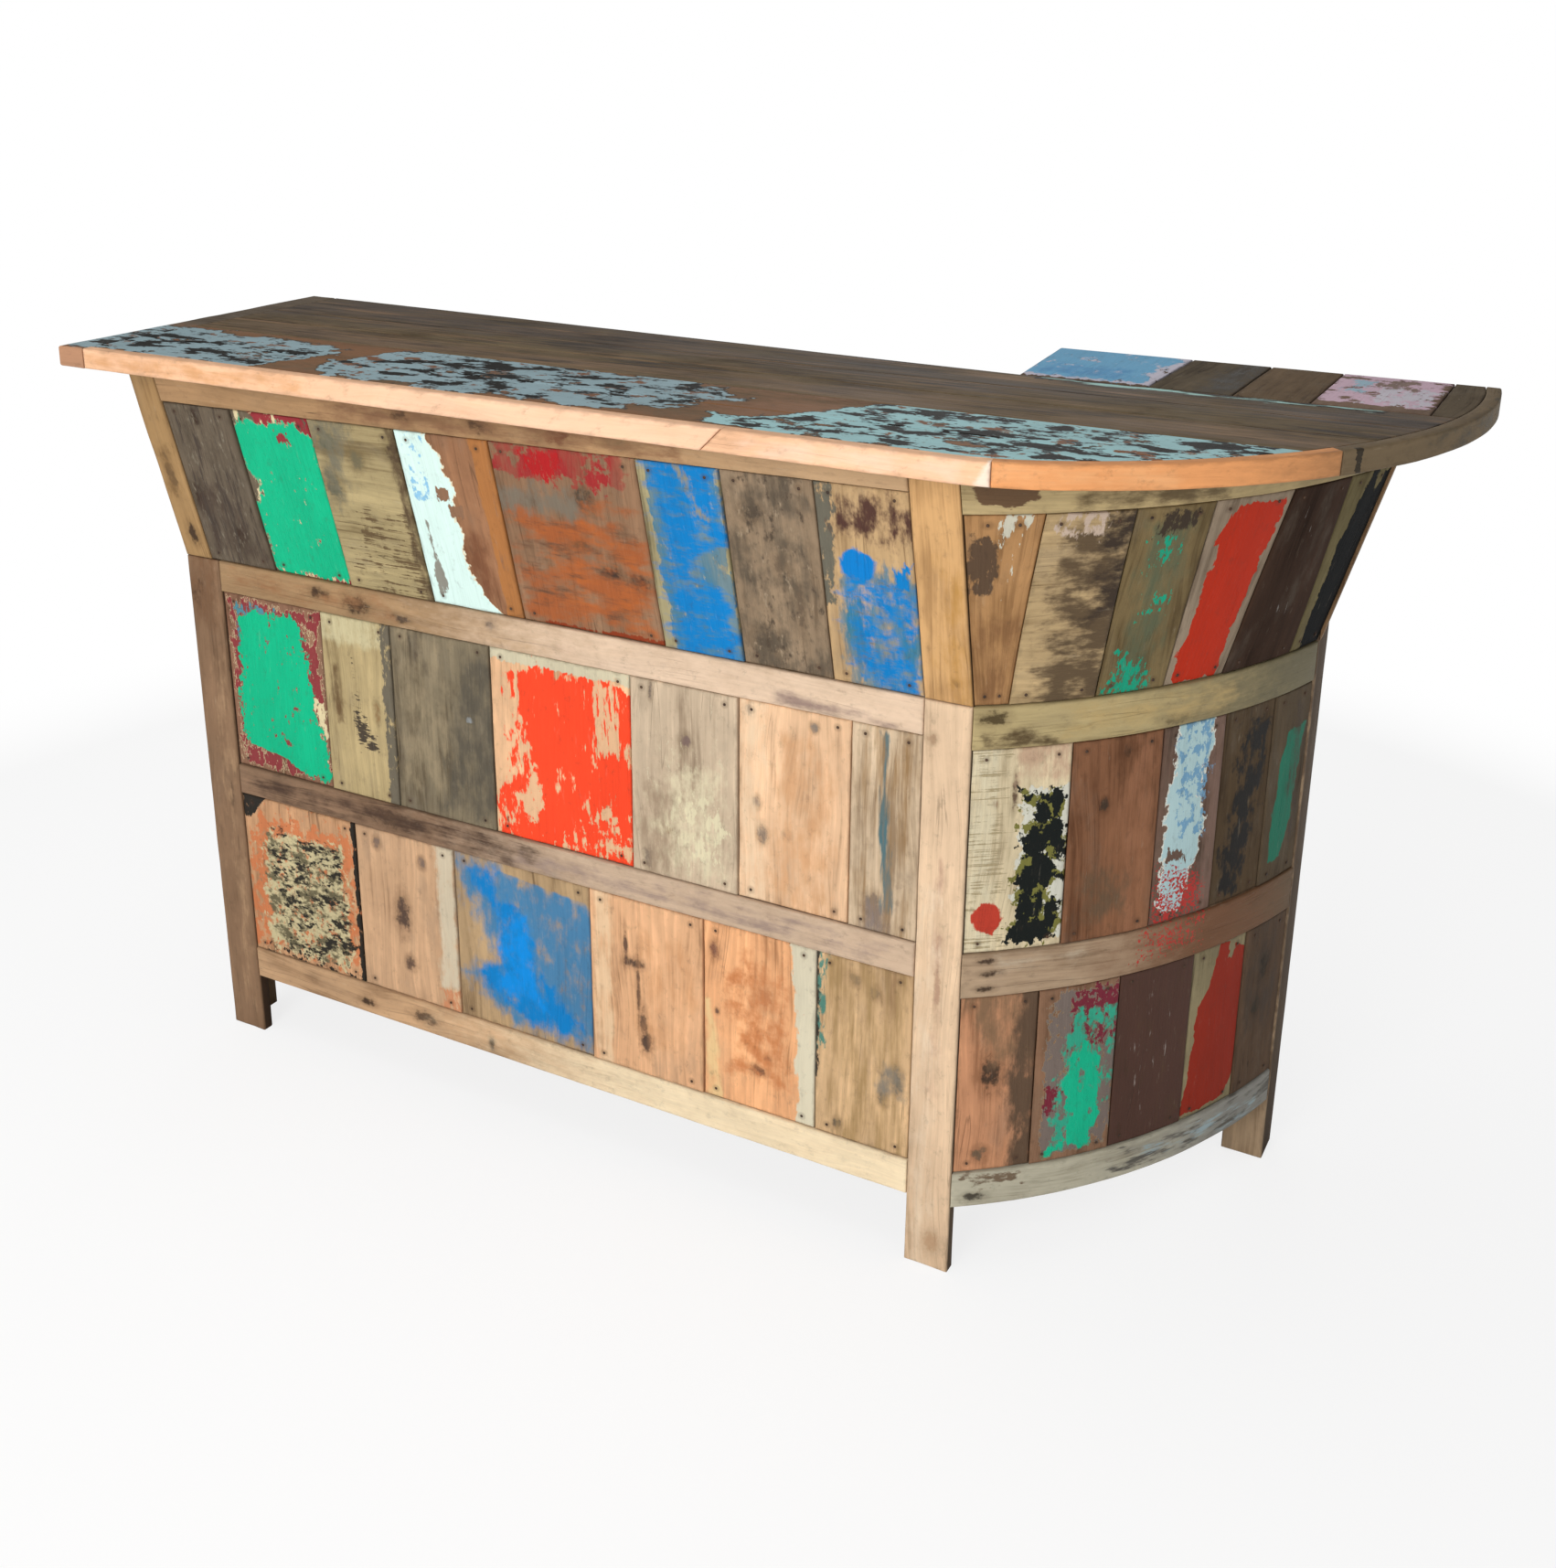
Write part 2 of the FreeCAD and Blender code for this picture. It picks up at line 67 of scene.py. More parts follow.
class Shade:
    """A socket in a material's node tree. Arithmetic on it adds Math nodes."""

    def __init__(self, tree, socket):
        self.tree = tree
        self.socket = socket

    def node(self, kind, sockets, output=0, stops=(), **settings):
        made = self.tree.nodes.new("ShaderNode" + kind)
        for key, value in settings.items():
            setattr(made, key, value)
        for place, colour in stops[2:]:
            made.color_ramp.elements.new(place)
        for element, (place, colour) in zip(made.color_ramp.elements if stops else (), stops):
            element.position = place
            element.color = colour
        for key, value in sockets.items():
            if isinstance(value, Shade):
                self.tree.links.new(value.socket, made.inputs[key])
            else:
                made.inputs[key].default_value = value
        return Shade(self.tree, made.outputs[output])

    def maths(self, operation, first, second):
        return self.node("Math", {0: first, 1: second}, operation=operation)

    def __add__(self, other):
        return self.maths("ADD", self, other)

    def __sub__(self, other):
        return self.maths("SUBTRACT", self, other)

    def __mul__(self, other):
        return self.maths("MULTIPLY", self, other)

    __radd__ = __add__
    __rmul__ = __mul__

    def __rsub__(self, other):
        return self.maths("SUBTRACT", other, self)

    def least(self, other):
        return self.maths("MINIMUM", self, other)

    def most(self, other):
        return self.maths("MAXIMUM", self, other)

    def size(self):
        return self.node("Math", {0: self}, operation="ABSOLUTE")

    def sine(self):
        return self.node("Math", {0: self}, operation="SINE")

    def rise(self, low, high):
        sockets = {0: self, 1: low, 2: high}
        return self.node("MapRange", sockets, interpolation_type="SMOOTHSTEP")

    def mix(self, under, over):
        return self.node("Mix", {0: self, 6: under, 7: over}, output=2, data_type="RGBA")

    def times(self, factors):
        return self.node("VectorMath", {0: self, 1: factors}, operation="MULTIPLY")

    def moved(self, offset):
        return self.node("VectorMath", {0: self, 1: offset}, operation="ADD")

    def axis(self, index):
        return self.node("SeparateXYZ", {0: self}, output=index)

    def vector(self, x, y, z):
        return self.node("CombineXYZ", {0: x, 1: y, 2: z})

    def grit(self, scales, detail=3.0, rough=0.55):
        sockets = {"Vector": self.times(scales), "Scale": 1.0, "Detail": detail, "Roughness": rough}
        return self.node("TexNoise", sockets)


def grades(code, contrast=1.0):
    """Dark, middle and light tones of one timber."""
    middle = tint(code)
    dark = [c * (1 - share * contrast) for c, share in zip(middle, (0.5, 0.54, 0.58))]
    light = [min(1.0, c * (1 + 0.3 * contrast)) for c in middle[:3]]
    return (*dark, 1.0), middle, (*light, 1.0)


def coat(colour, outline, worn=0.0, fade=0.010, ragged=1.0, scale=(45, 22), flake=(140, 60), fine=6.0, rim=None,
         wash=0.0, soft=0.3, through=False):
    """A layer of old paint. Outline rows are (height, left, right) as shares of the board, worn is how much has
    gone, fade the width of its thinning edge in metres, and scale and flake the numbers of chips per metre."""
    return dict(colour=tint(colour), outline=outline, worn=worn, fade=fade, ragged=ragged, scale=scale, flake=flake,
                fine=fine, rim=rim, wash=wash, soft=soft, through=through)


def stain(colour, outline, worn=0.0, fade=0.020, ragged=1.0, scale=(45, 22), flake=(140, 60), fine=3.0):
    """A soft-edged change of the wood's colour: mostly its own stains, and on the rear right leg painted shade."""
    return coat(colour, outline, worn - 0.8, fade, ragged, scale, flake, fine, soft=2.4)


def patch(left, right, foot, head):
    """The outline of a straight-sided area, as shares of the board."""
    return ((foot, left, right), (head, left, right))


def knot(across, along, wide=0.008, tall=0.012, colour="3A2A20", strength=0.9, spread=1.35):
    """A knot or dark mark: its place as shares of the board, its half sizes in metres."""
    return dict(across=across, along=along, wide=wide * spread, tall=tall * spread, colour=tint(colour),
                strength=strength)


def lay_coat(layer, spot, across, along, width, length, seed):
    """Cover of a coat, and of the older coat that shows round its chips."""
    outline = layer["outline"]
    reach = 20
    stops = [(height, (left / reach + 0.5, right / reach + 0.5, 0, 1)) for height, left, right in outline]
    climb = along * (1 / length)
    sides = climb.node("ValToRGB", {0: climb}, stops=stops)
    left = (sides.axis(0) - 0.5) * (reach * width)
    right = (sides.axis(1) - 0.5) * (reach * width)
    inside = (across - left).least(right - across)
    if outline[0][0] > 0:
        inside = inside.least(along - outline[0][0] * length)
    if outline[-1][0] < 1:
        inside = inside.least(outline[-1][0] * length - along)
    wide, tall = layer["scale"]
    lumps = spot.moved((seed * 3.1, seed * 1.7, 0)).grit((wide, tall, wide), 4.0, 0.6) - 0.5
    wide, tall = layer["flake"]
    flakes = spot.moved((seed * 1.3, seed * 2.9, 0)).grit((wide, tall, wide), 5.0, 0.65) - 0.5
    field = (inside * (1 / layer["fade"])).least(1.0) + lumps * (5 * layer["ragged"]) + flakes * layer["fine"]
    field = field - layer["worn"]
    cover = field.rise(0.0, layer["soft"])
    under = field.rise(-layer["rim"][1], layer["soft"] - layer["rim"][1]) if layer["rim"] else None
    if layer["wash"]:
        thin = spot.moved((seed * 0.7, seed * 4.3, 0)).grit((38, 9, 38), 4.0, 0.6).rise(0.38, 0.62)
        cover = cover * (1 - thin * layer["wash"])
    return cover, under


def dimmed(colour, share):
    return (*(c * share for c in colour[:3]), 1.0)


def timber(name, woods, seed, width, length, coats=(), knots=(), streak=0.5, figure=0.5, edge_grime_and_shade=0.22, turned=False,
           grey=0.25, nailed=None, source=None, rough=0.7, shine=0.12, sides=None):
    """Old board: growth figure, fibres, cracks, knots, grime and painted shade along the edges, then its coats of
    paint, and painted shade on its sides if asked.
    """
    dark, middle, light = woods
    material = bpy.data.materials.new(name)
    material.use_nodes = True
    tree = material.node_tree
    shader = tree.nodes["Principled BSDF"]
    start = Shade(tree, None)
    if source is None:
        spot = start.node("Attribute", {}, output=1, attribute_name="grain")
    else:
        spot = source(start.node("TexCoord", {}, output=3))
    across, along = spot.axis(0), spot.axis(1)
    fibre = spot.moved((seed * 5.3, seed * 2.1, seed * 0.9))
    if turned:
        fibre = fibre.vector(fibre.axis(1), fibre.axis(0), fibre.axis(2))
    bend = fibre.grit((8, 2.4, 8), 2.0, 0.5) - 0.5
    bent = fibre.moved(bend.vector(bend * 0.06, 0.0, 0.0))
    clouds = fibre.grit((15, 5, 15), 4.0, 0.62) - 0.5
    bands = bent.grit((46, 2.0, 46), 4.0, 0.6) - 0.5
    lines = bent.grit((330, 8, 330), 4.0, 0.65) - 0.5
    rings = ((bent.axis(0) + bands * 0.05) * 430).sine()
    tone = clouds * 1.9 + bands * 1.1 + lines * 0.8 + rings * (0.13 * figure) + 0.55
    colour = tone.rise(0.0, 0.55).mix(dark, middle)
    colour = tone.rise(0.5, 1.05).mix(colour, light)
    aged = fibre.moved((3.0, 7.0, 1.0)).grit((20, 8, 20), 5.0, 0.62).rise(0.5, 0.72)
    colour = (aged * grey).mix(colour, tint("7A7164"))
    pores = bent.grit((170, 6, 170), 5.0, 0.7).rise(0.58, 0.72)
    colour = (pores * (streak * 0.75)).mix(colour, dimmed(dark, 0.45))
    stains = fibre.grit((36, 21, 36), 5.0, 0.66).rise(0.5, 0.8)
    colour = (stains * (streak * 0.6)).mix(colour, dimmed(dark, 0.6))
    cracks = 1 - (bent.grit((38, 1.3, 38), 2.0, 0.5) - 0.5).size().rise(0.0, 0.006)
    cracks = cracks * fibre.grit((18, 7, 18), 2.0, 0.5).rise(0.52, 0.62)
    colour = (cracks * streak).mix(colour, tint("1F1712"))
    flecks = fibre.grit((120, 120, 120), 2.0, 0.5) - 0.5
    height = lines * 0.5 + bands * 0.4 - cracks * 0.9 - pores * 0.4
    for mark in knots:
        aside = (across - mark["across"] * width) * (1 / mark["wide"])
        above = (along - mark["along"] * length) * (1 / mark["tall"])
        away = aside * aside + above * above + (fibre.grit((95, 70, 95), 4.0, 0.65) - 0.5) * 3.2
        halo = 1 - away.rise(0.3, 2.6)
        colour = (halo * (0.55 * mark["strength"])).mix(colour, dimmed(dark, 0.85))
        heart = 1 - away.rise(0.0, 0.9)
        colour = (heart * mark["strength"]).mix(colour, mark["colour"])
        height = height - heart * 0.4
    gloss = lines * 0.25 + rough
    face = 1 - (spot.axis(2) + flecks * 0.004).rise(0.0035, 0.008)
    for number, layer in enumerate(coats):
        cover, under = lay_coat(layer, spot, across, along, width, length, seed + number * 1.37)
        if not layer["through"]:
            cover = cover * face
        if under:
            colour = (under * face).mix(colour, tint(layer["rim"][0]))
        patchy = (clouds * 1.2 + lines * 0.9 + 0.5).rise(0.1, 0.8)
        colour = cover.mix(colour, patchy.mix(dimmed(layer["colour"], 0.84), layer["colour"]))
        height = height + cover * 0.35
        gloss = gloss + cover * (0.5 - gloss)
    dirt = spot.moved((seed * 2.3, seed, 4.0)).grit((75, 48, 75), 8.0, 0.72)
    colour = (dirt.rise(0.53, 0.74) * 0.3).mix(colour, tint("3C3126"))
    scuffs = bent.moved((seed, 5.0, seed * 3.7)).grit((150, 24, 150), 6.0, 0.7)
    colour = (scuffs.rise(0.6, 0.76) * 0.14).mix(colour, tint("D2C6AE"))
    # Darkening along every edge of a board toward dark brown: partly grime, partly painted shade where boards meet
    # other parts.
    if edge_grime_and_shade:
        edge = across.least(width - across).least(along.least(length - along))
        rim_dirt_and_shade = (1 - (edge + (fibre.grit((80, 34, 80), 3.0, 0.6) - 0.5) * 0.016).rise(-0.001, 0.0045)) * edge_grime_and_shade
        colour = rim_dirt_and_shade.mix(colour, tint("382C22"))
    if nailed:
        from_edge, from_end = nailed
        aside = ((across - width / 2).size() - (width / 2 - from_edge)).size()
        above = ((along - length / 2).size() - (length / 2 - from_end)).size()
        rust = 1 - (aside * aside + above * above).rise(0.000004, 0.00005)
        colour = (rust * 0.3).mix(colour, tint("4A3426"))
    # Faces deeper than the front face, the sides and back, go toward the sides colour: painted shade.
    if sides:
        colour = (spot.axis(2).rise(0.002, 0.006) * 0.85).mix(colour, tint(sides))
    bump = start.node("Bump", {"Height": height, "Strength": 0.6, "Distance": 0.0012})
    for key, value in (("Base Color", colour), ("Roughness", gloss), ("Normal", bump)):
        tree.links.new(value.socket, shader.inputs[key])
    shader.inputs["Specular IOR Level"].default_value = shine
    return material


def stations(length, step):
    """Places of the cross-lines of a board's mesh, close together at its worn rims."""
    rim = (0.0, 0.0007, 0.0018, 0.004)
    count = max(2, round((length - 2 * rim[-1]) / step))
    middle = [rim[-1] + (length - 2 * rim[-1]) * i / count for i in range(1, count)]
    return [*rim, *middle, *(length - place for place in reversed(rim))]


def board(name, place, width, length, thickness, material, seed, worn=0.0022, warp=0.0008, step=0.02, dented=0.0014,
          drawn=0.0007, drawn_reach=0.006):
    """A board as a closed mesh: place(across, along, depth) puts it, its rims are worn and its face uneven."""
    rows = stations(width, step)
    lines = stations(length, step)
    points = []
    spots = []
    for back in (False, True):
        for a in rows:
            for b in lines:
                shift = Vector((a * 40 + seed * 7.3, b * 14 + seed * 3.9, 3.0 if back else 0.0))
                rough = noise.noise(shift) * 0.5 + 0.5
                rim = min(a, width - a, b, length - b)
                radius = worn * (0.45 + rough)
                lost = radius - math.sqrt(max(radius ** 2 - max(radius - rim, 0.0) ** 2, 0.0))
                hollow = warp * (noise.noise(Vector((a * 9, b * 5, seed * 2.7))) * 0.5 + 0.5)
                dent = dented * max(0.0, noise.noise(Vector((a * 70, b * 38, seed * 1.9))) - 0.45)
                sunk = lost + min(hollow, rim * 0.5) + dent
                pull = drawn * (noise.noise(Vector((a * 30 + 9, b * 30, seed))) * 0.5 + 0.5)
                fade = 0.0 if back else max(0.0, 1 - rim / drawn_reach) * pull
                inward_a = a + (fade if a < width / 2 else -fade)
                inward_b = b + (fade if b < length / 2 else -fade)
                d = thickness - lost if back else sunk
                points.append(place(inward_a, inward_b, d))
                spots.append((a, b, d))
    many = len(lines)
    total = len(rows) * many

    def at(i, j, side):
        return side * total + i * many + j

    faces = []
    for i in range(len(rows) - 1):
        for j in range(many - 1):
            faces.append((at(i, j, 0), at(i + 1, j, 0), at(i + 1, j + 1, 0), at(i, j + 1, 0)))
            faces.append((at(i, j, 1), at(i, j + 1, 1), at(i + 1, j + 1, 1), at(i + 1, j, 1)))
    for i in range(len(rows) - 1):
        for j, turn in ((0, 1), (many - 1, -1)):
            faces.append((at(i, j, 0), at(i, j, 1), at(i + 1, j, 1), at(i + 1, j, 0))[::turn])
    for j in range(many - 1):
        for i, turn in ((0, -1), (len(rows) - 1, 1)):
            faces.append((at(i, j, 0), at(i, j, 1), at(i, j + 1, 1), at(i, j + 1, 0))[::turn])
    mesh = bpy.data.meshes.new(name)
    mesh.from_pydata(points, [], faces)
    store = mesh.attributes.new("grain", "FLOAT_VECTOR", "POINT")
    store.data.foreach_set("vector", [value for spot in spots for value in spot])
    whole = bmesh.new()
    whole.from_mesh(mesh)
    bmesh.ops.recalc_face_normals(whole, faces=whole.faces)
    whole.to_mesh(mesh)
    whole.free()
    mesh.shade_smooth()
    mesh.set_sharp_from_angle(angle=math.radians(50))
    mesh.materials.append(material)
    piece = bpy.data.objects.new(name, mesh)
    bpy.context.scene.collection.objects.link(piece)
    return piece


def fitted(piece, slot, *nodes):
    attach(piece, "root")
    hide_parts(*nodes)


def upright(low, high, face="front"):
    """Place of a post's board coordinates: its face to the front or to the left."""
    if face == "left":
        return lambda a, b, d: Vector((low.x + d, high.y - a, low.z + b))
    return lambda a, b, d: Vector((low.x + a, low.y + d, low.z + b))


post_looks = {"rear_left_leg": "8E6D4C", "inner_corner_leg": "5C4632", "return_leg": "86684A",
              "rear_right_leg": "B2987A", "end_front_stile": "6B573F"}
for seed, (node, code) in enumerate(post_looks.items(), 3):
    low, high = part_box(node)
    size = high - low
    face = "left" if node == "end_front_stile" else "front"
    width, thick = (size.y, size.x) if face == "left" else (size.x, size.y)
    # On the rear right leg the front face above the foot is darkened, and its sides and back are dark: painted shade
    # inside the bow.
    shade = [stain("6E5A46", patch(-0.2, 1.2, 0.12, 1.1), -0.6, 0.04)] if node == "rear_right_leg" else []
    finish = timber(node + "_wood", grades(code), seed, width, size.z, shade, streak=0.6, grey=0.4,
                    sides="3A2C20" if shade else None)
    post = board(node + "_post", upright(low, high, face), width, size.z, thick, finish, seed, worn=0.004)
    fitted(post, "inner_wood", node)


# Battens and curved ribs behind the rails: rough-sawn strips that the plank ends are nailed to.
# They and the bearers, aprons and flare wedges are hidden or in shade, of plain old timber.
# Their sawn shapes need no more than the timber's own finish.
def along_x(spot):
    return spot.vector(spot.axis(2), spot.axis(0), spot.axis(1))


def along_z(spot):
    return spot.vector(spot.axis(0), spot.axis(2), spot.axis(1))


def along_y(spot):
    return spot


sawn_runs = (("panel_battens", along_x), ("bow_ribs", along_x), ("aprons", along_x), ("shelf_bearers", along_x),
             ("top_bearers", along_y), ("end_flare_wedge", along_z), ("rear_flare_cheek", along_z))
for seed, (node, run) in enumerate(sawn_runs, 20):
    sawn = timber(node + "_sawn", grades("7E6246"), seed, 1.0, 1.0, streak=0.7, grey=0.5, edge_grime_and_shade=0.0, source=run)
    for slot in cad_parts[node].material_slots:
        slot.material = sawn


# Shelves on the serving side: three planed boards each, laid loose on their bearers.
# Plain brown hardwood, scuffed along the middle.
shelf_boards_each = 3
shelf_gap = 0.0006
shelf_thickness = 0.018
low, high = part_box("shelf_boards")
for level, top in enumerate((low.z + shelf_thickness, high.z)):
    depth = (high.y - low.y) / shelf_boards_each
    for number in range(shelf_boards_each):
        seed = 30 + level * shelf_boards_each + number
        front = low.y + depth * number + shelf_gap / 2

        def flat(a, b, d, front=front, top=top):
            return Vector((low.x + b, front + a, top - d))

        length = high.x - low.x
        finish = timber(f"shelf_wood_{seed}", grades("7D5E40"), seed, depth, length, streak=0.5, grey=0.35)
        shelf = board(f"shelf_{level + 1}_board_{number + 1}", flat, depth - shelf_gap, length, shelf_thickness,
                      finish, seed, step=0.03)
        fitted(shelf, "inner_wood", "shelf_boards")


# Front frame: flat legs and leaning stiles with four rails between, of planed old boards 20 mm thick.
# The upper part leans outwards above the knee, so every front place follows that slope.
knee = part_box("front_left_flare_stile")[0].z
under_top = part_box("front_left_flare_stile")[1].z
front_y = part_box("front_left_leg")[0].y
frame_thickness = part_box("front_left_leg")[1].y - front_y
flare_slope = (front_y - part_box("front_left_flare_stile")[0].y) / (under_top - knee)


def front_point(x, z, depth):
    return Vector((x, front_y - flare_slope * max(z - knee, 0.0) + depth, z))


def light_and_colour_drift(code, foot, head, run=0.5):
    """A slow change of a long board's colour along its length, used for painted light and shade growing toward one end,
    with some change of the wood's own colour.
    """
    return coat(code, ((foot, -9, 9), (head, -9, 9)), fade=run, ragged=0.12, fine=0.4, soft=1.0)


legs = {
    "front_left_leg": ("866950",
                       [stain("7A5A40", patch(0, 1, 0.86, 1), 0.1, 0.02),
                        stain("B08E6C", patch(0.5, 0.8, 0.05, 0.8), 0.4, 0.02, flake=(160, 8))],
                       [knot(0.3, 0.93, 0.012, 0.022), knot(0.7, 0.52, 0.004, 0.02, strength=0.5)]),
    "front_right_leg": ("DBBD9C",
                        [stain("B9937C", patch(0.35, 0.65, 0.3, 0.75), 0.7, 0.012, flake=(170, 7)),
                         stain("EAD2B4", patch(0.1, 0.5, 0.0, 0.7), 0.4, 0.02, flake=(120, 8))],
                        [knot(0.2, 0.94, 0.006, 0.006, "A5876A", 0.8), knot(0.52, 0.55, 0.004, 0.05, "9C7560", 0.6),
                         knot(0.6, 0.05, 0.01, 0.014, "B4906E", 0.7)]),
    "front_left_flare_stile": ("A58358", [stain("7E5F38", patch(0, 1, 0.3, 0.6), 0.8, 0.02)],
                               [knot(0.6, 0.13, 0.009, 0.014), knot(0.45, 0.45, 0.008, 0.03, strength=0.6)]),
    "front_right_flare_stile": ("D3A671", [stain("C2914F", patch(0.5, 1, 0.0, 0.6), 0.3, 0.02, flake=(160, 8))],
                                [knot(0.7, 0.1, 0.004, 0.006, strength=0.5)])}
for seed, (node, (code, coats, knots)) in enumerate(legs.items(), 40):
    low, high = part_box(node)

    def leg_place(a, b, d, low=low):
        return front_point(low.x + a, low.z + b, d)

    width, length = high.x - low.x, high.z - low.z
    # The legs' sides and backs are near black: painted shade.
    finish = timber(node + "_wood", grades(code, 0.7), seed, width, length, coats=coats, knots=knots, streak=0.3,
                    edge_grime_and_shade=0.14, grey=0.1, sides="2A1E15")
    piece = board(node + "_board", leg_place, width, length, frame_thickness, finish, seed, worn=0.003, warp=0.0012)
    fitted(piece, "frame_wood", node)

top_rail_left, top_rail_right = 0.049, 0.031
# The drifts make each front rail lighter toward its right end: painted light, stronger on the right of the front.
rails = {
    "front_bottom_rail": ("C09B76", [light_and_colour_drift("FFEAC4", 0.28, 1.0, 0.5)], 0.25,
                          [knot(0.4, 0.2, 0.006, 0.012), knot(0.5, 0.3, 0.009, 0.02, "5A4636"),
                           knot(0.35, 0.41, 0.009, 0.005), knot(0.5, 0.63, 0.004, 0.012, "8A6A48"),
                           knot(0.4, 0.92, 0.004, 0.012)]),
    "front_middle_rail": ("876B54",
                          [light_and_colour_drift("D2B79C", 0.25, 1.0, 0.5),
                           stain("4A362A", patch(0, 1, 0.02, 0.5), 0.55, 0.02, flake=(110, 5), fine=5),
                           stain("A08A7E", patch(0, 0.8, 0.45, 0.97), 0.7, 0.02, flake=(110, 5), fine=4)], 0.6,
                          [knot(0.5, 0.27, 0.012, 0.05, strength=0.6), knot(0.4, 0.47, 0.012, 0.06, "4E3C32", 0.6),
                           knot(0.2, 0.52, 0.01, 0.006, "4E5A58", 0.8), knot(0.25, 0.94, 0.003, 0.01)]),
    "front_knee_rail": ("9F805D",
                        [light_and_colour_drift("E7CBAF", 0.25, 1.0, 0.5),
                         stain("9C8478", ((0.82, 0.0, 0.5), (0.97, 0.0, 0.25)), 0.3, 0.008, flake=(60, 12)),
                         stain("9A6E4A", patch(0, 1, 0.02, 0.3), 0.8, 0.02, flake=(90, 14))], 0.35,
                        [knot(0.6, 0.17, 0.007, 0.014), knot(0.45, 0.23, 0.012, 0.02), knot(0.3, 0.3, 0.005, 0.014),
                         knot(0.65, 0.44, 0.006, 0.007), knot(0.4, 0.55, 0.006, 0.016, "B08C70", 0.7),
                         knot(0.15, 0.63, 0.008, 0.04, "8A6E60", 0.8), knot(0.5, 0.68, 0.003, 0.006)]),
    # The top rail's darker base colour is partly its own and partly painted shade under the top's overhang.
    "front_top_rail": ("A6835E",
                       [light_and_colour_drift("C2A07A", 0.6, 1.0, 0.4),
                        stain("8A6548", patch(0, 1, 0.25, 0.75), 0.6, 0.012, flake=(80, 22))], 0.6,
                       [knot(0.85, 0.08, 0.003, 0.02, "D9BD8E"), knot(0.5, 0.38, 0.01, 0.012),
                        knot(0.45, 0.49, 0.012, 0.016), knot(0.5, 0.59, 0.013, 0.018, "6A3E2C"),
                        knot(0.45, 0.67, 0.01, 0.02, "7E6548"), knot(0.4, 0.87, 0.014, 0.03, "8A7058", 0.8)])}
for seed, (node, (code, coats, streak, knots)) in enumerate(rails.items(), 50):
    low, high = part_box(node)
    length = high.x - low.x
    width = high.z - low.z

    def rail_place(a, b, d, low=low, high=high, tapered=node == "front_top_rail", length=length, width=width):
        foot = low.z
        if tapered:
            foot = high.z - top_rail_left + (top_rail_left - top_rail_right) * b / length
        return front_point(low.x + b, foot + a * (high.z - foot) / width, d)

    finish = timber(node + "_wood", grades(code, 0.8), seed, width, length, coats=coats, knots=knots, streak=streak,
                    edge_grime_and_shade=0.15, grey=0.12)
    piece = board(node + "_board", rail_place, width, length, frame_thickness, finish, seed, worn=0.003, warp=0.0012)
    fitted(piece, "frame_wood", node)


# Front planks: upright boards from old boats and houses, each with what is left of its paint.
# They are set a few millimetres behind the frame and nailed at both ends.
plank_gap = 0.001
plank_recess = 0.003
recess_spread = 0.0012
nail_inset = (0.018, 0.0125)
nail_probe = 0.001
nail_places = []
sea_green = "00BC88"
dark_red = "962F36"
cream = "E0D0A4"
mint_white = "DCF6EE"
boat_blue = "007EC6"
dull_blue = "4A80A8"
signal_red = "FD4A26"
soot = "2A251F"


def drive_nails(place, width, length):
    """Four nail heads near a plank's corners, each facing straight out."""
    from_edge, from_end = nail_inset
    for a in (from_edge, width - from_edge):
        for b in (from_end, length - from_end):
            head = place(a, b, 0.0)
            nail_places.append((head, (head - place(a, b, nail_probe)).normalized()))


def front_row(row, looks, first_seed):
    for number, (code, coats, knots, extra) in enumerate(looks, 1):
        node = f"front_{row}_plank_{number}"
        low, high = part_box(node)
        seed = first_seed + number
        width, length = high.x - low.x, high.z - low.z
        recess = plank_recess + recess_spread * math.sin(seed * 2.4)
        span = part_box("front_top_rail")
        shift = (top_rail_left - top_rail_right) / (span[1].x - span[0].x) if row == "upper" else 0.0

        def plank_place(a, b, d, low=low, high=high, recess=recess, shift=shift, length=length, width=width):
            head = high.z - shift * (width - a)
            return front_point(low.x + a, low.z + b * (head - low.z) / length, recess + d)

        finish = timber(node + "_finish", grades(code), seed, width, length, coats=coats, knots=knots,
                        nailed=nail_inset, **extra)
        piece = board(node + "_board", plank_place, width, length, frame_thickness - recess, finish, seed)
        fitted(piece, "painted_planks", node)
        drive_nails(plank_place, width, length)


